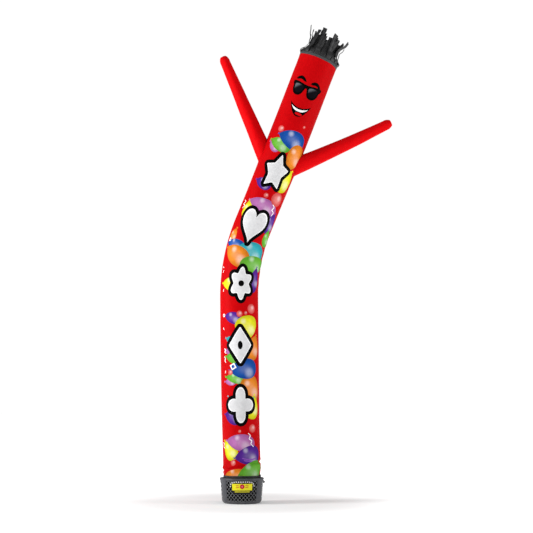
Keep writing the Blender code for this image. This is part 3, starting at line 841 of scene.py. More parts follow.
def label_finish():
    """Print of the label: a yellow field with a red disc between bars, over a black band with a stripe."""
    material, net, shader = new_finish("label_print")
    place = net.place()
    x, y, z = net.split(place)
    turn = net.math("ARCTAN2", x, net.times(y, -1.0))
    across = net.times(net.minus(turn, LABEL_TURN), LABEL_RADIUS)
    faded = net.ramp(net.noise(place, 45.0, 4.0), 0.3, 0.75)
    yellow = net.mix(faded, (0.80, 0.72, 0.010), (0.86, 0.78, 0.020))
    off_stripe = net.ramp(net.size_of(net.minus(z, STRIPE_HEIGHT)), 0.0040, 0.0050)
    short = net.ramp(net.size_of(across), STRIPE_HALF - 0.0005, STRIPE_HALF + 0.0005, 1.0, 0.0)
    stripe = net.times(net.minus(1.0, off_stripe), short)
    upper = net.ramp(z, LABEL_SPLIT - 0.0006, LABEL_SPLIT + 0.0006)
    colour = net.mix(upper, net.mix(stripe, (0.010, 0.010, 0.011), yellow), yellow)
    rise = net.minus(z, DISC_HEIGHT)
    off = net.away(across, rise)
    colour = net.mix(net.ramp(off, DISC_RADIUS, DISC_RADIUS + 0.0010, 1.0, 0.0), colour, LABEL_RED)
    middle = net.ramp(off, DISC_MIDDLE_RADIUS, DISC_MIDDLE_RADIUS + 0.0010, 1.0, 0.0)
    colour = net.mix(middle, colour, (0.70, 0.16, 0.24))
    bars = net.math("COMPARE", net.size_of(rise), WING_GAP, WING_HALF_HEIGHT)
    wings = net.times(bars, net.math("COMPARE", net.size_of(across), WING_PLACE, WING_HALF))
    colour = net.mix(wings, colour, LABEL_RED)
    grain = net.bump(net.noise(place, 800.0, 2.0), 0.00004, 0.4)
    dress(net, shader, colour, net.ramp(faded, 0.0, 1.0, 0.28, 0.42), 0.2, grain)
    return material


DOT_PITCH = 0.0260
DOT_RADIUS = 0.0068


def arch_finish():
    """Black film with a row of pale dots."""
    material, net, shader = new_finish("dotted_film")
    x, y, _ = net.split(net.flat_place())
    phase = net.minus(net.math("FRACT", net.math("DIVIDE", x, DOT_PITCH)), 0.5)
    off = net.away(net.times(phase, DOT_PITCH), y)
    dot = net.ramp(off, DOT_RADIUS, DOT_RADIUS + 0.0008, 1.0, 0.0)
    worn = net.ramp(net.noise(net.place(), 120.0, 3.0), 0.3, 0.7, 0.82, 1.0)
    dress(net, shader, net.mix(net.times(dot, worn), (0.004, 0.004, 0.004), WHITE), 0.45, 0.15)
    return material


# ---------------------------------------------------------------------------------------------
# Print
# ---------------------------------------------------------------------------------------------

def turned_by(point, degrees):
    """A flat point turned about the origin."""
    angle = math.radians(degrees)
    x, y = point
    return x * math.cos(angle) - y * math.sin(angle), x * math.sin(angle) + y * math.cos(angle)


def shifted(points, u, v):
    """Flat points moved by u and v."""
    return [(u + x, v + y) for x, y in points]


def anticlockwise(outline):
    """The outline, taken the other way round if it runs clockwise."""
    doubled_area = sum(a[0] * b[1] - b[0] * a[1] for a, b in zip(outline, outline[1:] + outline[:1]))
    return outline[::-1] if doubled_area < 0.0 else outline


def smooth_line(points, steps=6):
    """Points along a soft curve through the given ones, whose ends stay where they are."""
    line = []
    for index in range(len(points) - 1):
        before = points[max(index - 1, 0)]
        start, end = points[index], points[index + 1]
        after = points[min(index + 2, len(points) - 1)]
        for step in range(steps):
            t = step / steps
            line.append(tuple(
                0.5 * (2.0 * b + (c - a) * t + (2.0 * a - 5.0 * b + 4.0 * c - d) * t * t
                       + (3.0 * b - a - 3.0 * c + d) * t ** 3)
                for a, b, c, d in zip(before, start, end, after)
            ))
    return line + [points[-1]]


def smooth_loop(points, steps=5):
    """Closed soft curve through the given points."""
    count = len(points)
    line = smooth_line([points[index % count] for index in range(-1, count + 2)], steps)
    return line[steps:-steps - 1]


def circle(u, v, radius, steps=20):
    """Round outline."""
    return [(u + radius * math.cos(turn), v + radius * math.sin(turn)) for turn in ring_turns(steps)]


def stroke(line, width):
    """Outline of a line drawn with a round-ended pen, which tapers a little at both ends."""
    left, right = [], []
    last = len(line) - 1
    for index, (x, y) in enumerate(line):
        ahead, behind = line[min(index + 1, last)], line[max(index - 1, 0)]
        dx, dy = ahead[0] - behind[0], ahead[1] - behind[1]
        size = math.hypot(dx, dy)
        half = 0.5 * width * (0.45 + 0.55 * math.sin(math.pi * (0.12 + 0.76 * index / last)))
        left.append((x - half * dy / size, y + half * dx / size))
        right.append((x + half * dy / size, y - half * dx / size))
    return right + left[::-1]


def balloon_outline(length, width, knot_degrees, steps=44):
    """Egg with a drawn-out knot end, round its own middle."""
    outline = []
    for turn in ring_turns(steps):
        along = math.cos(turn)
        across = math.sin(turn) * (1.0 - 0.20 * along)
        nib = 0.11 * max(0.0, along) ** 16
        outline.append(turned_by((0.5 * length * (along + nib), 0.5 * width * across), knot_degrees))
    return outline


def polar_outline(reach, half_width, half_height, steps=MOTIF_STEPS):
    """Closed outline whose distance from the middle is reach(turn), scaled to a width and a height."""
    return [(half_width * reach(turn) * math.cos(turn), half_height * reach(turn) * math.sin(turn))
            for turn in ring_turns(steps)]


def corner_outline(corners, reach, softness=0.35):
    """Straight-sided star or diamond with every corner a little rounded, from corner points."""
    outline = []
    near, far = softness * 0.2, softness * 0.5
    for index, corner in enumerate(corners):
        before, after = corners[index - 1], corners[(index + 1) % len(corners)]
        sides = ((before, corner, 1.0 - far), (before, corner, 1.0 - near),
                 (corner, after, near), (corner, after, far))
        for start, end, part in sides:
            outline.append(tuple(a + (b - a) * part for a, b in zip(start, end)))
    return [(x * reach[0], y * reach[1]) for x, y in outline]


def motif_outline(shape, half_width, half_height):
    """Fill of one motif round its own middle."""
    size = (half_width, half_height)
    if shape == "star":
        corners = []
        for step in range(10):
            turn = math.pi / 2.0 + math.pi * step / 5.0
            reach = STAR_NOTCH if step % 2 else 1.0
            corners.append((reach * math.cos(turn), reach * math.sin(turn)))
        return corner_outline(corners, (half_width * STAR_SPREAD, half_height))
    if shape == "heart":
        outline = []
        for turn in ring_turns(MOTIF_STEPS):
            x = math.sin(turn) ** 3
            y = (13.0 * math.cos(turn) - 5.0 * math.cos(2.0 * turn) - 2.0 * math.cos(3.0 * turn)
                 - math.cos(4.0 * turn)) / HEART_DEPTH
            outline.append((half_width * x, half_height * (y + HEART_RISE)))
        return outline[::-1]
    if shape == "flower":
        return polar_outline(lambda turn: 0.84 + 0.16 * math.cos(6.0 * (turn - math.pi / 2.0)), *size)
    if shape == "diamond":
        return corner_outline([(1.0, 0.0), (0.0, 1.0), (-1.0, 0.0), (0.0, -1.0)], size, 0.18)
    return polar_outline(lambda turn: 0.50 + 0.50 * abs(math.cos(2.0 * turn)) ** 1.3, *size)


def swollen(outline, width):
    """The outline moved outwards by a width, with round corners, as seen from its middle."""
    dense = []
    for index, start in enumerate(outline):
        end = outline[(index + 1) % len(outline)]
        parts = max(1, round(math.dist(start, end) / 0.003))
        for step in range(parts):
            dense.append(tuple(a + (b - a) * step / parts for a, b in zip(start, end)))
    grown = []
    for turn in ring_turns(MOTIF_STEPS):
        dx, dy = math.cos(turn), math.sin(turn)
        far = 0.0
        for x, y in dense:
            off = x * dy - y * dx
            if abs(off) < width:
                far = max(far, x * dx + y * dy + math.sqrt(width * width - off * off))
        grown.append((far * dx, far * dy))
    return grown


def on_face(points):
    """Points of the face, put where the face is."""
    return shifted(points, FACE_MIDDLE, FACE_FOOT)


class Print:
    """The print's shapes from back to front, each an outline in flat cloth with its ink and kind."""

    def __init__(self):
        self.shapes = []

    def add(self, outline, ink, kind, middle=(0.0, 0.0), size=1.0, edge=None):
        """A shape in front of the ones so far; edge says how near its edge a place is, from 0 to 1."""
        self.shapes.append({
            "outline": anticlockwise(outline), "ink": ink, "kind": kind,
            "middle": middle, "size": size, "edge": edge,
        })

    def add_balloon(self, u, v, length, width, knot, ink):
        """A glossy balloon over its own knot."""
        def edge(place):
            """How near the balloon's edge a place is, from 0 in the middle to 1."""
            x, y = turned_by((place[0] - u, place[1] - v), -knot)
            return min(1.0, math.hypot(2.0 * x / length, 2.0 * y / width))

        tail_end = 0.5 * length * 1.10 + KNOT_LENGTH
        tail = [(0.5 * length * 1.06, 0.0), (tail_end, KNOT_HALF), (tail_end, -KNOT_HALF)]
        self.add(shifted([turned_by(point, knot) for point in tail], u, v), ink, FLAT_INK)
        reach = 0.5 * math.sqrt(length * width)
        self.add(shifted(balloon_outline(length, width, knot), u, v), ink, GLOSSY, (u, v), reach, edge)

    def add_bubble(self, u, v, radius):
        """A pale round bubble."""
        def edge(place):
            return min(1.0, math.hypot(place[0] - u, place[1] - v) / radius)

        self.add(circle(u, v, radius, 24), RED, BUBBLE, (u, v), radius, edge)

    def add_motif(self, shape, u, v, half_width, half_height):
        """A hatched grey motif in a white rim and a wide black outline."""
        fill = motif_outline(shape, half_width, half_height)
        self.add(shifted(swollen(fill, MOTIF_OUTLINE), u, v), BLACK, FLAT_INK)
        self.add(shifted(fill, u, v), WHITE, FLAT_INK)
        inner = [(x * MOTIF_RIM, y * MOTIF_RIM) for x, y in fill]
        self.add(shifted(inner, u, v), PALE_GREY, HATCHED, (u, v), half_width)
        if shape in MOTIF_DOTS:
            dot = polar_outline(lambda turn: 1.0, *MOTIF_DOTS[shape], steps=24)
            self.add(shifted(dot, u, v), BLACK, FLAT_INK)

    def add_face(self):
        """Dark glasses, a little askew, and two brows."""
        def worn(points, side):
            """Points of one half of the glasses, on their side and turned with the tilt."""
            turned = [turned_by((side * x, y - GLASSES_PIVOT), GLASSES_TILT) for x, y in points]
            return on_face([(x, y + GLASSES_PIVOT) for x, y in turned])

        half = smooth_line(GLASSES_TOP, 4) + smooth_line(GLASSES_LOW, 4)[1:]
        lens = smooth_loop(LENS_LOOP)
        for side in (1.0, -1.0):
            self.add(worn(half, side), BLACK, FLAT_INK)
        for side in (1.0, -1.0):
            middle = worn([LENS_MIDDLE], side)[0]
            self.add(worn(lens, side), LENS, GLAZED, middle, LENS_SHEEN_REACH)
        brow = smooth_line(BROW_TOP, 4)[:-1] + smooth_line(BROW_LOW, 4)[:-1]
        for x, y in BROW_PLACES:
            self.add(on_face(shifted(brow, x, y)), BLACK, FLAT_INK)

    def add_mouth(self):
        """Wide smile with a row of teeth and a tongue."""
        def bow(half, ends, sag, power=2.0, steps=20):
            """Hanging curve between two ends at one height."""
            shares = [2.0 * step / steps - 1.0 for step in range(steps + 1)]
            return [(MOUTH_MIDDLE + half * share, ends - sag * (1.0 - abs(share) ** power))
                    for share in shares]

        lower_lip = bow(MOUTH_HALF, MOUTH_CORNER, MOUTH_DEPTH, 2.1)[-2:0:-1]
        self.add(on_face(bow(MOUTH_HALF, MOUTH_CORNER, LIP_SAG) + lower_lip), BLACK, FLAT_INK)
        teeth_foot = bow(TEETH_HALF, TEETH_TOP, TEETH_LOW_SAG, 2.6)[-2:0:-1]
        self.add(on_face(bow(TEETH_HALF, TEETH_TOP, TEETH_TOP_SAG) + teeth_foot), WHITE, FLAT_INK)
        aside, rise, half_width, half_height = TONGUE_OVAL
        tongue = [(MOUTH_MIDDLE + aside + half_width * math.cos(turn), rise + half_height * math.sin(turn))
                  for turn in ring_turns(28)]
        self.add(on_face(tongue), TONGUE, FLAT_INK)

    def add_confetti(self):
        """Curled ribbons, dashes, rings, the square ring and dots."""
        for line in RIBBONS:
            self.add(stroke(smooth_line(line, 4), RIBBON_WIDTH), WHITE, FLAT_INK)
        for u, v, tilt in DASHES:
            ends = [turned_by((0.5 * DASH_LENGTH * side, 0.0), tilt) for side in (-1.0, 0.0, 1.0)]
            self.add(stroke(shifted(ends, u, v), DASH_WIDTH), WHITE, FLAT_INK)
        for u, v, radius in RINGS:
            self.add(circle(u, v, radius), WHITE, FLAT_INK)
            self.add(circle(u, v, RING_HOLE * radius), RED, FLAT_INK)
        u, v, reach = SQUARE_RING
        for size, ink in ((reach, WHITE), (SQUARE_HOLE * reach, BLUE)):
            corners = [turned_by((size * x, size * y), SQUARE_TILT) for x, y in UNIT_SQUARE]
            self.add(shifted(corners, u, v), ink, FLAT_INK)
        for u, v, radius, ink in DOTS:
            self.add(circle(u, v, radius, 14), ink, FLAT_INK)


def body_print():
    """All the shapes printed on the tube; the streaks lie under the two lowest balloons and over the rest."""
    made = Print()
    for balloon in BALLOONS[:-2]:
        made.add_balloon(*balloon)
    for line in STREAKS:
        made.add(stroke(smooth_line(line, 4), STREAK_WIDTH), STREAK_INK, FLAT_INK)
    for balloon in BALLOONS[-2:]:
        made.add_balloon(*balloon)
    for bubble in BUBBLES:
        made.add_bubble(*bubble)
    made.add_confetti()
    for motif in MOTIFS:
        made.add_motif(*motif)
    made.add_face()
    made.add_mouth()
    return made.shapes


# ---------------------------------------------------------------------------------------------
# Body cloth
# ---------------------------------------------------------------------------------------------

FLAT_RADIUS = 0.2390
HALF_ROUND = math.pi * FLAT_RADIUS
ROW_STEP = 0.0200
# (station where the step changes, step between rows of points)
ROW_BANDS = ((0.24, 0.007), (0.34, 0.011), (BODY_LENGTH, ROW_STEP))
# (station where the columns change, columns round the tube)
COLUMN_BANDS = ((0.085, 176), (0.30, 112), (BODY_LENGTH - 0.12, 76), (BODY_LENGTH + 1.0, 100))
BAKE_SPLIT = 2.450
BAKE_MARGIN = 0.004


def cloth_rows():
    """Stations of the cloth's rows of points, close together at the cuff and at the rim."""
    stations, station = [], 0.0
    while station < BODY_LENGTH - 0.4 * ROW_STEP:
        stations.append(station)
        station += next(step for end, step in ROW_BANDS if station < end)
    return stations + [BODY_LENGTH]


def flat_points():
    """Points of the flat cloth and the edges along its sides, which become the back seam."""
    points, left, right = [], [], []
    for row, station in enumerate(cloth_rows()):
        columns = next(count for end, count in COLUMN_BANDS if station < end)
        shift = 0.5 * (row % 2)
        left.append(len(points))
        points.append((-HALF_ROUND, station))
        for column in range(1, columns):
            u = -HALF_ROUND + 2.0 * HALF_ROUND * (column + shift - 0.25) / columns
            points.append((u, station))
        right.append(len(points))
        points.append((HALF_ROUND, station))
    edges = list(zip(left, left[1:])) + list(zip(right, right[1:]))
    edges += [(left[0], right[0]), (left[-1], right[-1])]
    return points, edges


def cut_cloth(shapes, holes):
    """Flat triangles of the cloth and, for each, the shape in front there; holes are left out."""
    points, edges = flat_points()
    outlines = []
    for outline in holes + [shape["outline"] for shape in shapes]:
        start = len(points)
        for u, v in outline:
            points.append((u, max(v, 0.0)))
        outlines.append(list(range(start, len(points))))
    flat = [Vector(point) for point in points]
    places, _, faces, _, _, sources = mathutils.geometry.delaunay_2d_cdt(flat, edges, outlines, 0, 1e-5)
    kept, fronts = [], []
    for face, source in zip(faces, sources):
        if any(index < len(holes) for index in source):
            continue
        kept.append(tuple(face))
        fronts.append(max(source) - len(holes) if source else -1)
    return places, kept, fronts


def bake_place(u, v):
    """Place in the baked map: the cloth's lower and upper halves side by side."""
    across = (u + HALF_ROUND) / (2.0 * HALF_ROUND)
    upper = v > BAKE_SPLIT
    low, high = (BAKE_SPLIT, BODY_LENGTH) if upper else (0.0, BAKE_SPLIT)
    along = (v - low) / (high - low)
    room = 0.5 - 2.0 * BAKE_MARGIN
    x = (0.5 if upper else 0.0) + BAKE_MARGIN + room * across
    return x, BAKE_MARGIN + (1.0 - 2.0 * BAKE_MARGIN) * along


def make_body_cloth(finish, root_outlines):
    """The printed tube: its flat cloth cut out, printed and rolled round the leaning axis."""
    shapes = body_print()
    places, faces, fronts = cut_cloth(shapes, root_outlines)
    spots = [cloth_point(max(v, 0.0), u / FLAT_RADIUS) for u, v in places]
    body = piece_from("body_cloth", spots, faces, 180.0)
    mesh = body.data
    mesh.color_attributes.new("print_ink", "FLOAT_COLOR", "CORNER")
    mesh.attributes.new("print_place", "FLOAT_VECTOR", "CORNER")
    mesh.uv_layers.new(name="weave")
    mesh.uv_layers.new(name="OFBake")
    inks, kinds = mesh.attributes["print_ink"], mesh.attributes["print_place"]
    weave, bake = mesh.uv_layers["weave"], mesh.uv_layers["OFBake"]
    for polygon, front in zip(mesh.polygons, fronts):
        shape = shapes[front] if front >= 0 else None
        heights = [places[mesh.loops[loop].vertex_index][1] for loop in polygon.loop_indices]
        upper = sum(heights) / 3.0 > BAKE_SPLIT
        for loop in polygon.loop_indices:
            u, v = places[mesh.loops[loop].vertex_index]
            weave.data[loop].uv = (u, v)
            held = max(v, BAKE_SPLIT + 1e-6) if upper else min(v, BAKE_SPLIT)
            bake.data[loop].uv = bake_place(u, held)
            if shape is None:
                inks.data[loop].color = (*RED, 0.0)
                kinds.data[loop].vector = (0.0, 0.0, float(PLAIN))
                continue
            edge = shape["edge"]((u, v)) if shape["edge"] else 0.0
            inks.data[loop].color = (*shape["ink"], edge)
            x, y = ((u - shape["middle"][0]) / shape["size"], (v - shape["middle"][1]) / shape["size"])
            kinds.data[loop].vector = (x, y, float(shape["kind"]))
    edit = bmesh.new()
    edit.from_mesh(mesh)
    bmesh.ops.remove_doubles(edit, verts=edit.verts, dist=2e-5)
    edit.to_mesh(mesh)
    edit.free()
    put_on(body, finish)
    return thicken(body, CLOTH)


# ---------------------------------------------------------------------------------------------
# Sleeves
# ---------------------------------------------------------------------------------------------

CAP_ROWS = 9
CAP_DOME = 0.004
CAP_RINGS = (0.75, 0.45, 0.18)
TIP_PUCKERS = 24.0
SLEEVE_FLAT_RADIUS = 0.09


def make_sleeve(arm, roots, finish):
    """Tapering sleeve from its seam on the body to a blunt tip that is drawn together."""
    reach = arm_stretch(arm)
    turns = ring_turns(ARM_COLUMNS)
    points, flat = [], []
    for row in range(ARM_ROWS + 1):
        share = row / ARM_ROWS
        for turn, (root, _, _) in zip(turns, roots):
            distance = root + (ARM_STRAIGHT - root) * share
            points.append(arm_point(arm, distance, turn) + reach * share)
            flat.append((turn * SLEEVE_FLAT_RADIUS, distance))
    for row in range(1, CAP_ROWS + 1):
        share = row / CAP_ROWS
        distance = ARM_STRAIGHT + ARM_CAP_LENGTH * math.sin(share * math.pi / 2.0)
        for turn in turns:
            pucker = 0.0012 * math.cos(TIP_PUCKERS * turn) * smooth(share * 1.5)
            points.append(arm_point(arm, distance, turn, pucker) + reach)
            flat.append((turn * SLEEVE_FLAT_RADIUS, distance))
    centre, lean = arm_frame(arm, ARM_LENGTH)
    centre += reach
    for share in CAP_RINGS:
        for turn in turns:
            pucker = 0.0010 * math.cos(TIP_PUCKERS * turn) * share
            rise = CAP_DOME * (1.0 - share * share) + pucker
            points.append(around(centre, lean, ARM_CAP_RADIUS * share, turn, rise))
            flat.append((turn * SLEEVE_FLAT_RADIUS, ARM_LENGTH + ARM_CAP_RADIUS * (1.0 - share)))
    rows = len(points) // ARM_COLUMNS
    faces = grid_faces(rows, ARM_COLUMNS, True)
    points.append(around(centre, lean, 0.0, 0.0, CAP_DOME))
    flat.append((0.0, ARM_LENGTH + ARM_CAP_RADIUS))
    tip, last = len(points) - 1, (rows - 1) * ARM_COLUMNS
    for column in range(ARM_COLUMNS):
        faces.append((last + column, last + (column + 1) % ARM_COLUMNS, tip))
    sleeve = piece_from(arm[0], points, faces, 60.0)
    lay_weave_map(sleeve, flat, SLEEVE_FLAT_RADIUS)
    put_on(sleeve, finish)
    return thicken(sleeve, CLOTH)


# ---------------------------------------------------------------------------------------------
# Bindings, hair and strap
# ---------------------------------------------------------------------------------------------

BAND_COLUMNS = 180
BAND_ROWS = 8
BAND_OUT = GAP + 0.0014
BAND_CLOTH = 0.0008
FOLD_MIDDLE = -0.0006
FOLD_RADIUS = 0.0023
HEM_OUT = -0.0029
HEM_STEP = 0.006


def make_rim_binding(finish):
    """Grey tape folded over the rim: an outer face, a rounded fold and a hem inside."""
    section = [(BAND_OUT, -BAND_HEIGHT + BAND_HEIGHT * (row / BAND_ROWS)) for row in range(BAND_ROWS + 1)]
    for step in range(1, 6):
        turn = math.pi * step / 6.0
        section.append((FOLD_MIDDLE + FOLD_RADIUS * math.cos(turn), FOLD_RADIUS * math.sin(turn)))
    section += [(HEM_OUT, -HEM_STEP * row) for row in range(4)]
    points, flat = [], []
    run = 0.0
    for index, (out, rise) in enumerate(section):
        if index:
            run += math.dist(section[index - 1], section[index])
        station = BODY_LENGTH + min(rise, 0.0)
        centre, lean = ring_frame(station)
        for turn in ring_turns(BAND_COLUMNS):
            ripple = 0.0012 * math.cos(31.0 * turn + 2.0 * math.sin(5.0 * turn))
            ripple *= 0.4 + 0.6 * math.sin(14.0 * rise + turn)
            radius = body_radius(station, turn) + cloth_relief(station, turn) + out + ripple * (out > 0.0)
            points.append(around(centre, lean, radius, turn, max(rise, 0.0)))
            flat.append((turn * FLAT_RADIUS, run))
    binding = piece_from("rim_binding", points, grid_faces(len(section), BAND_COLUMNS, True), 70.0)
    lay_weave_map(binding, flat, FLAT_RADIUS)
    put_on(binding, finish)
    return thicken(binding, BAND_CLOTH)


STRIP_ROWS = 22
STRIP_COLUMNS = 7
HEADER_COLUMNS = 160
HAIR_CLOTH = 0.0006
RIPPLE_LENGTH = 0.085
LOCK_COUNT = 2 * STRIP_COUNT


def lock_shape(lock):
    """Length, pinch and tip radius, and layer of a strip; odd ones are the inner row, between the outer."""
    strip, inner = divmod(lock, 2)
    length, pinch, tip = STRIPS[strip]
    if not inner:
        return length, pinch, tip
    following = STRIPS[(strip + 1) % STRIP_COUNT]
    shorter = 0.7 * max(length, following[0]) + 0.3 * min(length, following[0])
    shorter *= 0.95 + 0.04 * math.sin(2.3 * strip)
    return shorter, 0.5 * (pinch + following[1]) - 0.030, 0.5 * (tip + following[2]) - 0.034


def lock_point(lock, share, across):
    """Point of one strip of hair: it billows over the rim, pinches in, ripples and curls at its end."""
    length, pinch, tip = lock_shape(lock)
    inner = lock % 2
    angle = FULL_TURN * (lock + 1.0) / LOCK_COUNT
    rise = HEADER_RISE + (length - HEADER_RISE) * share
    base = header_radius() - 0.002 * inner
    radius = base + (pinch - base) * smooth(rise / PINCH_HEIGHT)
    radius += (tip - pinch) * smooth((rise - PINCH_HEIGHT) / (length - PINCH_HEIGHT))

    # The strips at the tube's two sides billow the most, and lower down
    side = abs(math.sin(angle))
    at_side = side ** 8
    puff = BILLOW * (1.0 + 0.35 * math.sin(1.9 * lock) + 0.9 * at_side)
    puff *= 1.0 - 0.7 * inner * (1.0 - at_side)
    radius += puff * hump(rise - BILLOW_HEIGHT * (1.0 - 0.35 * at_side), BILLOW_SPREAD)

    # Past the header the cloth hangs loose: it wanders, ripples, folds and twists
    loose = smooth(rise / 0.10)
    seed = Vector((0.7 * lock, 5.0 * rise, 0.0))
    radius += loose * 0.008 * noise.noise(seed + Vector((0.0, 0.0, 3.1)))
    ripple = 0.0030 * math.sin(FULL_TURN * (rise / RIPPLE_LENGTH) + 1.7 * lock) * loose
    fold = 0.004 * math.cos(math.pi * across * 1.5 + 0.9 * lock) * loose * smooth(share * 1.4)
    sway = loose * (0.05 * noise.noise(seed + Vector((4.0, 0.0, 0.0))) + 0.03 * math.sin(1.3 * lock) * share)
    twist = loose * share * 0.30 * math.sin(2.6 * lock + 0.4) * (1.0 - 0.8 * side ** 4)

    offset = across * STRIP_WIDTH / 2.0 * (1.0 - 0.10 * loose * share)
    curl = base * (1.0 - math.cos(math.asin(abs(offset) / base))) * (1.0 - smooth(rise / PINCH_HEIGHT))
    slant = 0.005 * math.sin(2.2 * lock) * across * smooth((share - 0.7) / 0.3)
    centre, lean = ring_frame(BODY_LENGTH)
    out = radius - curl + ripple + fold + offset * math.sin(twist)
    middle = around(centre, lean, out, angle + sway, rise + slant)
    tangent = around(centre, lean, 1.0, angle + sway + math.pi / 2.0) - centre
    return middle + offset * math.cos(twist) * tangent


def make_hair(finish):
    """Fringe of black strips in two rows, sewn to one header tape inside the rim."""
    points, faces, flat = [], [], []
    offsets = [2.0 * column / (STRIP_COLUMNS - 1) - 1.0 for column in range(STRIP_COLUMNS)]
    strip_faces = grid_faces(STRIP_ROWS + 1, STRIP_COLUMNS, False)
    for lock in range(LOCK_COUNT):
        start = len(points)
        for row in range(STRIP_ROWS + 1):
            share = row / STRIP_ROWS
            for across in offsets:
                points.append(lock_point(lock, share, across))
                flat.append((lock * 0.07 + across * STRIP_WIDTH / 2.0, share * STRIPS[lock // 2][0]))
        faces += [tuple(start + index for index in face) for face in strip_faces]
    start = len(points)
    centre, lean = ring_frame(BODY_LENGTH)
    for rise in (-HEADER_DEPTH, -0.5 * HEADER_DEPTH, HEADER_RISE, HEADER_RISE + 0.010):
        for turn in ring_turns(HEADER_COLUMNS):
            sheer = cloth_relief(BODY_LENGTH + min(rise, 0.0), turn)
            points.append(around(centre, lean, header_radius() - 0.0024 + sheer, turn, rise))
            flat.append((turn * FLAT_RADIUS, rise))
    header_faces = grid_faces(4, HEADER_COLUMNS, True)
    faces += [tuple(start + index for index in face) for face in header_faces]
    hair = piece_from("hair_fringe", points, faces, 180.0)
    lay_weave_map(hair, flat)
    put_on(hair, finish)
    return thicken(hair, HAIR_CLOTH)


STRAP_COLUMNS = 240
STRAP_ROWS = 5
STRAP_THICKNESS = 0.0030
WEBBING_THICKNESS = 0.0024
STRAP_TAIL = 0.30
BUCKLE_TURN = math.radians(78.0)


def make_strap(finish):
    """Webbing drawn round the cuff from the buckle and back, with its loose end lying over it."""
    low, high = 0.0012, STRAP_HEIGHT - 0.0006
    points, flat = [], []
    total = FULL_TURN + STRAP_TAIL
    for column in range(STRAP_COLUMNS + 1):
        turn = total * column / STRAP_COLUMNS
        over = smooth((turn - FULL_TURN + 0.14) / 0.12)
        lift = over * (STRAP_THICKNESS + 0.0004) + 0.006 * smooth((turn - total + 0.13) / 0.13)
        for row in range(STRAP_ROWS):
            station = low + (high - low) * row / (STRAP_ROWS - 1)
            crown = 0.0004 * math.sin(math.pi * row / (STRAP_ROWS - 1))
            centre, lean = ring_frame(station)
            radius = CUFF_RADIUS + PUCKER_DEPTH * 0.5 + STRAP_THICKNESS + lift + crown
            points.append(around(centre, lean, radius, BUCKLE_TURN + turn))
            flat.append((turn * CUFF_RADIUS, station))
    faces = [face[::-1] for face in grid_faces(STRAP_COLUMNS + 1, STRAP_ROWS, False)]
    strap = piece_from("strap_webbing", points, faces, 60.0)
    lay_weave_map(strap, flat)
    put_on(strap, finish)
    return thicken(strap, WEBBING_THICKNESS)


# ---------------------------------------------------------------------------------------------
# Blower
# ---------------------------------------------------------------------------------------------

DRUM_COLUMNS = 216
LIP_ROUND = 0.010
DUCT_COLUMNS = 96
DUCT_LOW = 0.012
DUCT_TALL = 0.276
DUCT_GAP = 0.020
DUCT_RIB_PITCH = 0.023


def drum_point(radius, turn, height):
    """Point round the drum; angle 0 faces the front."""
    return radius * math.sin(turn), -radius * math.cos(turn), height


def drum_profile():
    """Outer profile of the housing from the middle of its base to the top of its neck."""
    profile = [(0.0, 0.0), (0.10, 0.0), (DRUM_FLAT_RADIUS, 0.0)]
    heights = [DRUM_CORNER_HEIGHT * (1.0 - math.cos(math.pi / 2.0 * step / 10)) for step in range(1, 11)]
    heights = [height for height in heights if abs(height - WINDOW_BOTTOM) > 0.0015]
    heights += [WINDOW_BOTTOM, 0.09, 0.135, 0.18, 0.225, 0.262, WINDOW_TOP, LIP_BOTTOM - 0.002]
    profile += [(drum_wall_radius(height), height) for height in sorted(heights)]
    profile.append((LIP_RADIUS - 0.0005, LIP_BOTTOM + 0.0022))
    for step in range(7):
        turn = math.pi / 2.0 * step / 6.0
        profile.append((LIP_RADIUS - LIP_ROUND + LIP_ROUND * math.cos(turn),
                        DRUM_HEIGHT - LIP_ROUND + LIP_ROUND * math.sin(turn)))
    profile += [(NECK_RADIUS + 0.006, DRUM_HEIGHT), (NECK_RADIUS + 0.0015, DRUM_HEIGHT + 0.0006)]
    profile += [(NECK_RADIUS, DRUM_HEIGHT + 0.002), (NECK_RADIUS, NECK_TOP - 0.003)]
    profile.append((NECK_RADIUS - 0.0008, NECK_TOP - 0.001))
    return profile


def window_columns():
    """Columns of the drum that lie inside a window, with the window's sides on a column."""
    step = 360.0 / DRUM_COLUMNS
    centres = [360.0 / WINDOW_COUNT * window for window in range(WINDOW_COUNT)]
    inside = set()
    for column in range(DRUM_COLUMNS):
        middle = (column + 0.5) * step
        off = min(abs((middle - centre + 180.0) % 360.0 - 180.0) for centre in centres)
        if off < WINDOW_HALF_ANGLE:
            inside.add(column)
    return inside


def make_housing(finish):
    """Drum with three windows, a rounded lip, a deck and the neck that the cuff is strapped to."""
    profile = drum_profile()
    inside = window_columns()
    points = [(0.0, 0.0, 0.0)]
    for radius, height in profile[1:]:
        points += [drum_point(radius, turn, height) for turn in ring_turns(DRUM_COLUMNS)]
    faces = []
    for column in range(DRUM_COLUMNS):
        faces.append((0, 1 + (column + 1) % DRUM_COLUMNS, 1 + column))
    for row in range(len(profile) - 2):
        low, high = profile[row + 1][1], profile[row + 2][1]
        cut = low >= WINDOW_BOTTOM - 1e-6 and high <= WINDOW_TOP + 1e-6
        for column in range(DRUM_COLUMNS):
            if cut and column in inside:
                continue
            after = (column + 1) % DRUM_COLUMNS
            first, second = 1 + row * DRUM_COLUMNS, 1 + (row + 1) * DRUM_COLUMNS
            faces.append((first + column, first + after, second + after, second + column))
    housing = piece_from("drum_housing", points, faces, 40.0)
    put_on(housing, finish)
    return thicken(housing, WALL)


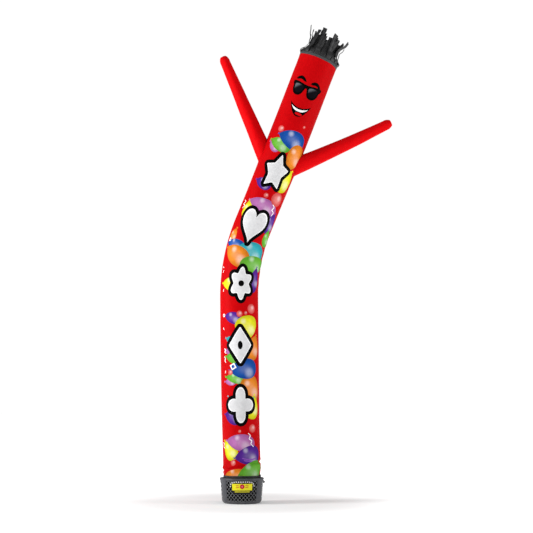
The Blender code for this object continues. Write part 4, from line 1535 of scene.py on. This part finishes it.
def make_duct(finish):
    """Ribbed duct behind the windows, which hides the fan; its near-black finish is painted shade for the
    dark inside of the drum.
    """
    points = []
    rows = 13
    for row in range(rows):
        height = DUCT_LOW + DUCT_TALL * row / (rows - 1)
        rib = 0.0010 * math.cos(FULL_TURN * height / DUCT_RIB_PITCH)
        radius = drum_wall_radius(max(height, 0.02)) - DUCT_GAP + rib
        points += [drum_point(radius, turn, height) for turn in ring_turns(DUCT_COLUMNS)]
    duct = piece_from("inner_shade_duct", points, grid_faces(rows, DUCT_COLUMNS, True), 60.0)
    put_on(duct, finish)
    return thicken(duct, 0.002)


def wall_radius_nodes(net, height):
    """The drum wall's radius as nodes: the taper above and the round corner below."""
    slope = (DRUM_TOP_RADIUS - DRUM_LOW_RADIUS) / (LIP_BOTTOM - DRUM_CORNER_HEIGHT)
    taper = net.math("MULTIPLY_ADD", net.minus(height, DRUM_CORNER_HEIGHT), slope, DRUM_LOW_RADIUS)
    part = net.minus(1.0, net.math("DIVIDE", height, DRUM_CORNER_HEIGHT))
    round_part = net.math("SQRT", net.minus(1.0, net.times(part, part)))
    corner = net.math("MULTIPLY_ADD", round_part, DRUM_LOW_RADIUS - DRUM_FLAT_RADIUS, DRUM_FLAT_RADIUS)
    above = net.math("GREATER_THAN", height, DRUM_CORNER_HEIGHT)
    difference = net.minus(taper, corner)
    return net.math("MULTIPLY_ADD", above, difference, corner)


def new_tree(name, sizes, takes_mesh=False):
    """A geometry tree with named inputs for its sizes and its finish, and their identifiers."""
    tree = bpy.data.node_groups.new(name, "GeometryNodeTree")
    if takes_mesh:
        tree.interface.new_socket(name="Geometry", in_out="INPUT", socket_type="NodeSocketGeometry")
    tree.interface.new_socket(name="Geometry", in_out="OUTPUT", socket_type="NodeSocketGeometry")
    ids = {}
    kinds = dict.fromkeys(sizes, "NodeSocketFloat")
    kinds["Finish"] = "NodeSocketMaterial"
    for key, kind in kinds.items():
        ids[key] = tree.interface.new_socket(name=key, in_out="INPUT", socket_type=kind).identifier
    return tree, ids


def close_tree(net, mesh, finish):
    """Realizes a tree's instances, gives them their finish and sends them out."""
    real = net.node("GeometryNodeRealizeInstances", {0: mesh})
    coated = net.node("GeometryNodeSetMaterial", {"Geometry": real.outputs[0], "Material": finish})
    net.node("NodeGroupOutput", {0: coated.outputs[0]})


def lattice_tree():
    """Tree that lays crossing strands over one window of the drum and wraps them round it."""
    tree, ids = new_tree("diamond_lattice", ("Pitch", "Strand Width", "Thickness", "Middle"))
    net = Net(tree)
    given = net.node("NodeGroupInput").outputs
    tall = WINDOW_TOP - WINDOW_BOTTOM
    wide = math.radians(WINDOW_HALF_ANGLE) * DRUM_TOP_RADIUS
    joined = net.node("GeometryNodeJoinGeometry")
    for side in (-1.0, 1.0):
        line = net.node("GeometryNodeCurvePrimitiveLine",
                        {"Start": (0.0, 0.0, WINDOW_BOTTOM), "End": (side * tall, 0.0, WINDOW_TOP)})
        fine = net.node("GeometryNodeResampleCurve", {"Curve": line.outputs[0], "Count": 44})
        reach = 2.0 * wide + tall
        count = net.math("CEIL", net.math("DIVIDE", reach, given["Pitch"]))
        begin = -wide if side < 0.0 else -wide - tall
        row = net.node("GeometryNodeMeshLine", {"Count": count, "Start Location": (begin, 0.0, 0.0)})
        offset = net.node("ShaderNodeCombineXYZ", {0: given["Pitch"]})
        net.feed(row.inputs["Offset"], offset.outputs[0])
        spread = net.node("GeometryNodeInstanceOnPoints",
                          {"Points": row.outputs[0], "Instance": fine.outputs[0]})
        real = net.node("GeometryNodeRealizeInstances", {0: spread.outputs[0]})
        section = net.node("GeometryNodeCurvePrimitiveQuadrilateral",
                           {"Width": given["Thickness"], "Height": given["Strand Width"]})
        strand = net.node("GeometryNodeCurveToMesh", {
            "Curve": real.outputs[0], "Profile Curve": section.outputs[0], "Fill Caps": True,
        })
        net.feed(joined.inputs[0], strand.outputs[0])
    x, y, z = net.split(net.node("GeometryNodeInputPosition").outputs[0])
    outside = net.math("GREATER_THAN", net.size_of(x), wide - 0.004)
    trimmed = net.node("GeometryNodeDeleteGeometry",
                       {"Geometry": joined.outputs[0], "Selection": outside}, domain="POINT")
    turn = net.plus(net.math("DIVIDE", x, DRUM_TOP_RADIUS), given["Middle"])
    radius = net.plus(wall_radius_nodes(net, z), net.minus(y, 0.0012))
    wrapped_place = net.node("ShaderNodeCombineXYZ", {
        0: net.times(radius, net.math("SINE", turn)),
        1: net.times(radius, net.times(net.math("COSINE", turn), -1.0)),
        2: z,
    })
    placed = net.node("GeometryNodeSetPosition", {
        "Geometry": trimmed.outputs[0], "Position": wrapped_place.outputs[0],
    })
    close_tree(net, placed.outputs[0], given["Finish"])
    return tree, ids


def grow(name, tree, ids, settings, seed_mesh=None):
    """Runs a tree on a new object and leaves the plain mesh that it makes."""
    mesh = seed_mesh or bpy.data.meshes.new(name)
    piece = bpy.data.objects.new(name, mesh)
    scene.collection.objects.link(piece)
    grower = piece.modifiers.new("grower", "NODES")
    grower.node_group = tree
    for key, value in settings.items():
        grower[ids[key]] = value
    return bake_down(piece)


ARCH_WIDTH = 0.020
ARCH_ROWS = 5
# The band's middle line: (distance round the drum from its front, height)
ARCH_LINE = (
    (-0.134, 0.196), (-0.132, 0.226), (-0.112, 0.250), (-0.070, 0.259), (0.009, 0.261), (0.088, 0.259),
    (0.130, 0.250), (0.150, 0.226), (0.152, 0.196),
)


def make_label_arch(finish):
    """Thin black band over the label, bent to the drum, that carries a row of pale dots."""
    line = smooth_line(ARCH_LINE, 8)
    points, flat = [], []
    run = 0.0
    for index, (u, z) in enumerate(line):
        ahead, behind = line[min(index + 1, len(line) - 1)], line[max(index - 1, 0)]
        size = math.dist(ahead, behind)
        side = ((ahead[1] - behind[1]) / size, -(ahead[0] - behind[0]) / size)
        run += math.dist(line[index - 1], (u, z)) if index else 0.0
        for row in range(ARCH_ROWS):
            off = ARCH_WIDTH * (row / (ARCH_ROWS - 1) - 0.5)
            turn, height = (u + side[0] * off) / LABEL_RADIUS, z + side[1] * off
            points.append(drum_point(drum_wall_radius(height) + 0.0022, turn, height))
            flat.append((run, off))
    arch = piece_from("label_arch", points, grid_faces(len(line), ARCH_ROWS, False), 60.0)
    lay_weave_map(arch, flat)
    put_on(arch, finish)
    return thicken(arch, 0.0012)


def window_border(name, middle, finish):
    """Flat rim of a grille, let into its window."""
    half = math.radians(WINDOW_HALF_ANGLE) - 0.003
    inner_half = half - LATTICE_BORDER / DRUM_LOW_RADIUS
    low, high = WINDOW_BOTTOM + GAP, WINDOW_TOP - GAP
    columns, rows = 48, 20
    points = []
    for row in range(rows + 1):
        if row in (0, rows):
            height = low if row == 0 else high
        else:
            share = (row - 1) / (rows - 2)
            height = low + LATTICE_BORDER + (high - low - 2.0 * LATTICE_BORDER) * share
        for column in range(columns + 1):
            if column in (0, columns):
                turn = -half if column == 0 else half
            else:
                turn = inner_half * (2.0 * (column - 1) / (columns - 2) - 1.0)
            points.append(drum_point(drum_wall_radius(height) - 0.0004, middle + turn, height))
    faces = []
    size = columns + 1
    for row in range(rows):
        for column in range(columns):
            if row in (0, rows - 1) or column in (0, columns - 1):
                a = row * size + column
                faces.append((a, a + 1, a + size + 1, a + size))
    border = piece_from(name, points, faces, 50.0)
    put_on(border, finish)
    return thicken(border, 0.0022)


def join_into(target, others):
    """Joins plain meshes into the first, keeping its name and every part's own finish."""
    edit = bmesh.new()
    edit.from_mesh(target.data)
    for other in others:
        start = len(edit.faces)
        edit.from_mesh(other.data)
        target.data.materials.append(other.data.materials[0])
        edit.faces.ensure_lookup_table()
        for face in edit.faces[start:]:
            face.material_index = len(target.data.materials) - 1
        bpy.data.objects.remove(other, do_unlink=True)
    edit.to_mesh(target.data)
    edit.free()
    return target


def make_grilles(finish, rim_finish):
    """One diamond lattice with its rim in each window."""
    tree, ids = lattice_tree()
    made = []
    for window, side in enumerate(("front", "right", "left")):
        middle = FULL_TURN * window / WINDOW_COUNT
        settings = {"Pitch": LATTICE_PITCH, "Strand Width": LATTICE_WIDTH, "Thickness": LATTICE_THICKNESS,
                    "Middle": middle, "Finish": finish}
        lattice = grow("lattice_" + side, tree, ids, settings)
        join_into(lattice, [window_border("lattice_rim_" + side, middle, rim_finish)])
        made.append((lattice, "grille_" + side))
    return made


# ---------------------------------------------------------------------------------------------
# Stitches and piping
# ---------------------------------------------------------------------------------------------

def stitch_tree():
    """Tree that sets a stitch every pitch along guide lines, turned along them and out from the cloth."""
    tree, ids = new_tree("stitch_row", ("Pitch", "Stitch Length", "Thread"), takes_mesh=True)
    net = Net(tree)
    given = net.node("NodeGroupInput").outputs
    line = net.node("GeometryNodeMeshToCurve", {"Mesh": given["Geometry"]})
    even = net.node("GeometryNodeResampleCurve",
                    {"Curve": line.outputs[0], "Length": given["Pitch"]}, mode="LENGTH")
    stitch = net.node("GeometryNodeMeshUVSphere", {"Segments": 6, "Rings": 4, "Radius": 1.0})
    along = net.node("GeometryNodeInputTangent").outputs[0]
    turn = net.node("FunctionNodeAlignRotationToVector", {"Vector": along}, axis="X")
    half = net.times(given["Stitch Length"], 0.5)
    size = net.node("ShaderNodeCombineXYZ", {0: half, 1: given["Thread"], 2: given["Thread"]})
    spread = net.node("GeometryNodeInstanceOnPoints", {
        "Points": even.outputs[0], "Instance": stitch.outputs[0],
        "Rotation": turn.outputs[0], "Scale": size.outputs[0],
    })
    round_off = net.node("GeometryNodeSetShadeSmooth", {0: spread.outputs[0]})
    close_tree(net, round_off.outputs[0], given["Finish"])
    return tree, ids


def guide_mesh(name, lines):
    """Mesh of loose edges along lines of points; a closed line repeats its first point."""
    points, edges = [], []
    for line in lines:
        start = len(points)
        points += [tuple(point) for point in line]
        edges += [(start + index, start + index + 1) for index in range(len(line) - 1)]
    mesh = bpy.data.meshes.new(name)
    mesh.from_pydata(points, edges, [])
    return mesh


STITCH_LIFT = 0.0004
BAND_STITCH_LIFT = 0.0026
ROOT_SEAM_GAP = 0.009
UNDER_SEAM_START = 0.30
UNDER_SEAM_HALF = 0.045
BACK_SEAM_HALF = 0.022


def body_ring_line(station, lift, steps=180):
    """Closed line round the body, a little off its cloth."""
    turns = [FULL_TURN * step / steps for step in range(steps + 1)]
    return [cloth_point(station, turn, lift) for turn in turns]


def seam_lines(arm, roots):
    """Rows of stitches round a sleeve's root and its tip, and two along its underside."""
    ring = []
    for column in range(ARM_COLUMNS + 1):
        root = roots[column % ARM_COLUMNS][0]
        ring.append(arm_point(arm, root + ROOT_SEAM_GAP, FULL_TURN * column / ARM_COLUMNS, STITCH_LIFT))
    reach = arm_stretch(arm)
    tip = [arm_point(arm, ARM_STRAIGHT, FULL_TURN * step / 60, STITCH_LIFT) + reach for step in range(61)]
    under = []
    for turn in (math.pi - UNDER_SEAM_HALF, math.pi + UNDER_SEAM_HALF):
        line = []
        for step in range(81):
            share = step / 80.0
            distance = UNDER_SEAM_START + (ARM_STRAIGHT - UNDER_SEAM_START) * share
            line.append(arm_point(arm, distance, turn, STITCH_LIFT) + reach * (0.12 + 0.88 * share))
        under.append(line)
    return [ring, tip] + under


def make_stitches(tree, ids, name, lines, settings):
    """Stitches along all the given lines, as one piece."""
    return grow(name, tree, ids, settings, guide_mesh(name, lines))


PIPING_RADIUS = 0.0032
PIPING_SIDES = 8


def make_piping(arm, roots, finish):
    """Piped seam that covers the join of a sleeve and the body."""
    centreline = [arm_point(arm, root, turn) for turn, (root, _, _) in zip(ring_turns(ARM_COLUMNS), roots)]
    points, flat = [], []
    count = len(centreline)
    middle = sum(centreline, Vector()) / count
    for index, spot in enumerate(centreline):
        along = (centreline[(index + 1) % count] - centreline[index - 1]).normalized()
        outward = spot - middle
        outward = (outward - outward.dot(along) * along).normalized()
        other = along.cross(outward)
        for turn in ring_turns(PIPING_SIDES):
            points.append(spot + PIPING_RADIUS * (math.cos(turn) * outward + math.sin(turn) * other))
            flat.append((index * 0.008, turn * PIPING_RADIUS))
    faces = []
    for index in range(count):
        here, there = index * PIPING_SIDES, (index + 1) % count * PIPING_SIDES
        for side in range(PIPING_SIDES):
            beside = (side + 1) % PIPING_SIDES
            faces.append((here + side, here + beside, there + beside, there + side))
    piping = piece_from(arm[0] + "_piping", points, faces, 180.0)
    lay_weave_map(piping, flat)
    edit = bmesh.new()
    edit.from_mesh(piping.data)
    bmesh.ops.recalc_face_normals(edit, faces=edit.faces)
    edit.to_mesh(piping.data)
    edit.free()
    put_on(piping, finish)
    return piping


# ---------------------------------------------------------------------------------------------
# Stage
# ---------------------------------------------------------------------------------------------

CAMERA_PLACE = (0.2921, -15.9, 1.30)
CAMERA_TILT = 90.0 + 5.423
CAMERA_LENS = 89.70
AMBIENT = 0.34
BACKDROP_GLOW = 1.02
FLOOR_HALF = 60.0
FLOOR_GLOW = 0.155
FLOOR_FAR_GLOW = 1.05
FLOOR_GLOW_START = 0.9
FLOOR_GLOW_END = 3.2
LEFT_POWER = 620.0
RIGHT_POWER = 185.0
TOP_POWER = 120.0


def make_floor():
    """Pale floor, which glows softly away from the drum so that it ends in the white backdrop."""
    points = [(x * FLOOR_HALF, y * FLOOR_HALF, 0.0) for x, y in UNIT_SQUARE]
    floor = piece_from("floor", points, [(0, 1, 2, 3)])
    material, net, shader = new_finish("pale_floor")
    dress(net, shader, (0.88, 0.88, 0.88, 1.0), 0.9, 0.0)
    shader.inputs["Emission Color"].default_value = (1.0, 1.0, 1.0, 1.0)
    x, y, _ = net.split(net.place())
    glow = net.ramp(net.away(x, y), FLOOR_GLOW_START, FLOOR_GLOW_END, FLOOR_GLOW, FLOOR_FAR_GLOW)
    net.feed(shader.inputs["Emission Strength"], glow)
    put_on(floor, material)


def make_light(name, place, aim, size, power):
    """Soft lamp at a place, aimed at a point."""
    lamp = bpy.data.lights.new(name, "AREA")
    lamp.shape = "RECTANGLE"
    lamp.size, lamp.size_y = size
    lamp.energy = power
    holder = bpy.data.objects.new(name, lamp)
    holder.location = place
    holder.rotation_euler = (Vector(aim) - Vector(place)).to_track_quat("-Z", "Y").to_euler()
    scene.collection.objects.link(holder)


def make_stage():
    """Camera, floor, white backdrop and three soft lamps."""
    camera = bpy.data.cameras.new("camera")
    camera.lens = CAMERA_LENS
    camera.sensor_width = 36.0
    camera.clip_end = 200.0
    holder = bpy.data.objects.new("camera", camera)
    holder.location = CAMERA_PLACE
    holder.rotation_euler = (math.radians(CAMERA_TILT), 0.0, 0.0)
    scene.collection.objects.link(holder)
    scene.camera = holder
    make_floor()
    world = bpy.data.worlds.new("studio")
    world.use_nodes = True
    net = Net(world.node_tree)
    shown = net.node("ShaderNodeLightPath").outputs["Is Camera Ray"]
    background = world.node_tree.nodes["Background"]
    background.inputs["Color"].default_value = (1.0, 1.0, 1.0, 1.0)
    net.feed(background.inputs["Strength"], net.math("MULTIPLY_ADD", shown, BACKDROP_GLOW - AMBIENT, AMBIENT))
    scene.world = world
    scene.view_settings.view_transform = "Standard"
    make_light("left_softbox", (-7.5, -2.0, 4.2), (0.2, 0.0, 3.2), (2.2, 6.0), LEFT_POWER)
    make_light("right_softbox", (7.5, -1.5, 3.4), (0.4, 0.0, 2.8), (2.2, 6.0), RIGHT_POWER)
    make_light("top_softbox", (0.5, -4.0, 10.5), (0.6, 0.0, 4.0), (4.0, 4.0), TOP_POWER)


# ---------------------------------------------------------------------------------------------
# Putting it together
# ---------------------------------------------------------------------------------------------

def finish_piece(piece, slot, *nodes):
    """Every piece rides on the one body and stands for its CAD nodes, which are hidden; the slot is not used.
    """
    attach(piece, BODY)
    if nodes:
        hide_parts(*nodes)
    return piece


def main():
    """Makes every piece and puts it on its body."""
    make_stage()
    red_print = printed_nylon()
    # Sleeves and their piping take the lighter red, painted light on the same nylon as the printed body
    red_nylon = plain_cloth("red_nylon", SLEEVE_RED_PAINTED_LIGHTER, 0.50, NYLON_SHINE, 0.0020)
    black_nylon = plain_cloth("black_nylon", (0.017, 0.017, 0.018), 0.40, 0.28, 0.0016)
    grey_tape = plain_cloth("grey_tape", (0.050, 0.057, 0.061), 0.55, 0.20, 0.0030)
    webbing = webbing_finish()
    enamel = enamel_finish()
    lattice_metal = lattice_finish()
    # Near-black finish of the duct: painted shade for the inside of the drum seen through the windows
    duct_painted_shade = moulded_finish("duct_painted_shade", (0.002, 0.002, 0.002), 0.80, 0.06)
    buckle_black = moulded_finish("moulded_black", (0.022, 0.022, 0.024), 0.38)
    red_thread = moulded_finish("red_thread", (0.36, 0.006, 0.008), 0.60)
    black_thread = moulded_finish("black_thread", (0.014, 0.014, 0.015), 0.60)

    roots = {arm[0]: arm_root(arm) for arm in ARMS}
    outlines = [anticlockwise([(angle * FLAT_RADIUS, station) for _, station, angle in roots[arm[0]]])
                for arm in ARMS]
    body = finish_piece(make_body_cloth(red_print, outlines), "red_nylon", "body_tube")
    for arm in ARMS:
        sleeve = finish_piece(make_sleeve(arm, roots[arm[0]], red_nylon), "red_nylon", arm[1])
        piping = finish_piece(make_piping(arm, roots[arm[0]], red_nylon), "red_nylon")
    binding = finish_piece(make_rim_binding(grey_tape), "grey_binding", "rim_band")
    hair = finish_piece(make_hair(black_nylon), "black_streamer", "streamers")
    strap = finish_piece(make_strap(webbing), "black_webbing", "strap")
    finish_piece(make_housing(enamel), "grey_enamel", "blower_housing")
    finish_piece(make_duct(duct_painted_shade), "grey_enamel")
    finish_piece(make_label_arch(arch_finish()), "yellow_label")
    for lattice, node in make_grilles(lattice_metal, enamel):
        finish_piece(lattice, "perforated_sheet", node)

    tree, ids = stitch_tree()
    thread = {"Pitch": 0.008, "Stitch Length": 0.0056, "Thread": 0.0008, "Finish": red_thread}
    red_rows = [body_ring_line(station, STITCH_LIFT)
                for station in (0.030, BODY_LENGTH - BAND_HEIGHT - 0.006)]
    for side in (-BACK_SEAM_HALF, BACK_SEAM_HALF):
        stations = [0.03 + (BODY_LENGTH - 0.07) * step / 420 for step in range(421)]
        red_rows.append([cloth_point(station, math.pi + side, STITCH_LIFT) for station in stations])
    for arm in ARMS:
        red_rows += seam_lines(arm, roots[arm[0]])
    finish_piece(make_stitches(tree, ids, "red_stitches", red_rows, thread), "red_nylon")
    rim_rows = [body_ring_line(station, BAND_STITCH_LIFT)
                for station in (BODY_LENGTH - 0.005, BODY_LENGTH - BAND_HEIGHT + 0.004)]
    thread["Finish"] = black_thread
    finish_piece(make_stitches(tree, ids, "binding_stitches", rim_rows, thread), "grey_binding")

    nodes = frame["nodes"]
    put_on(nodes["label_plate"], label_finish())
    put_on(nodes["strap_buckle"], buckle_black)
    put_on(nodes["power_inlet"], buckle_black)


main()
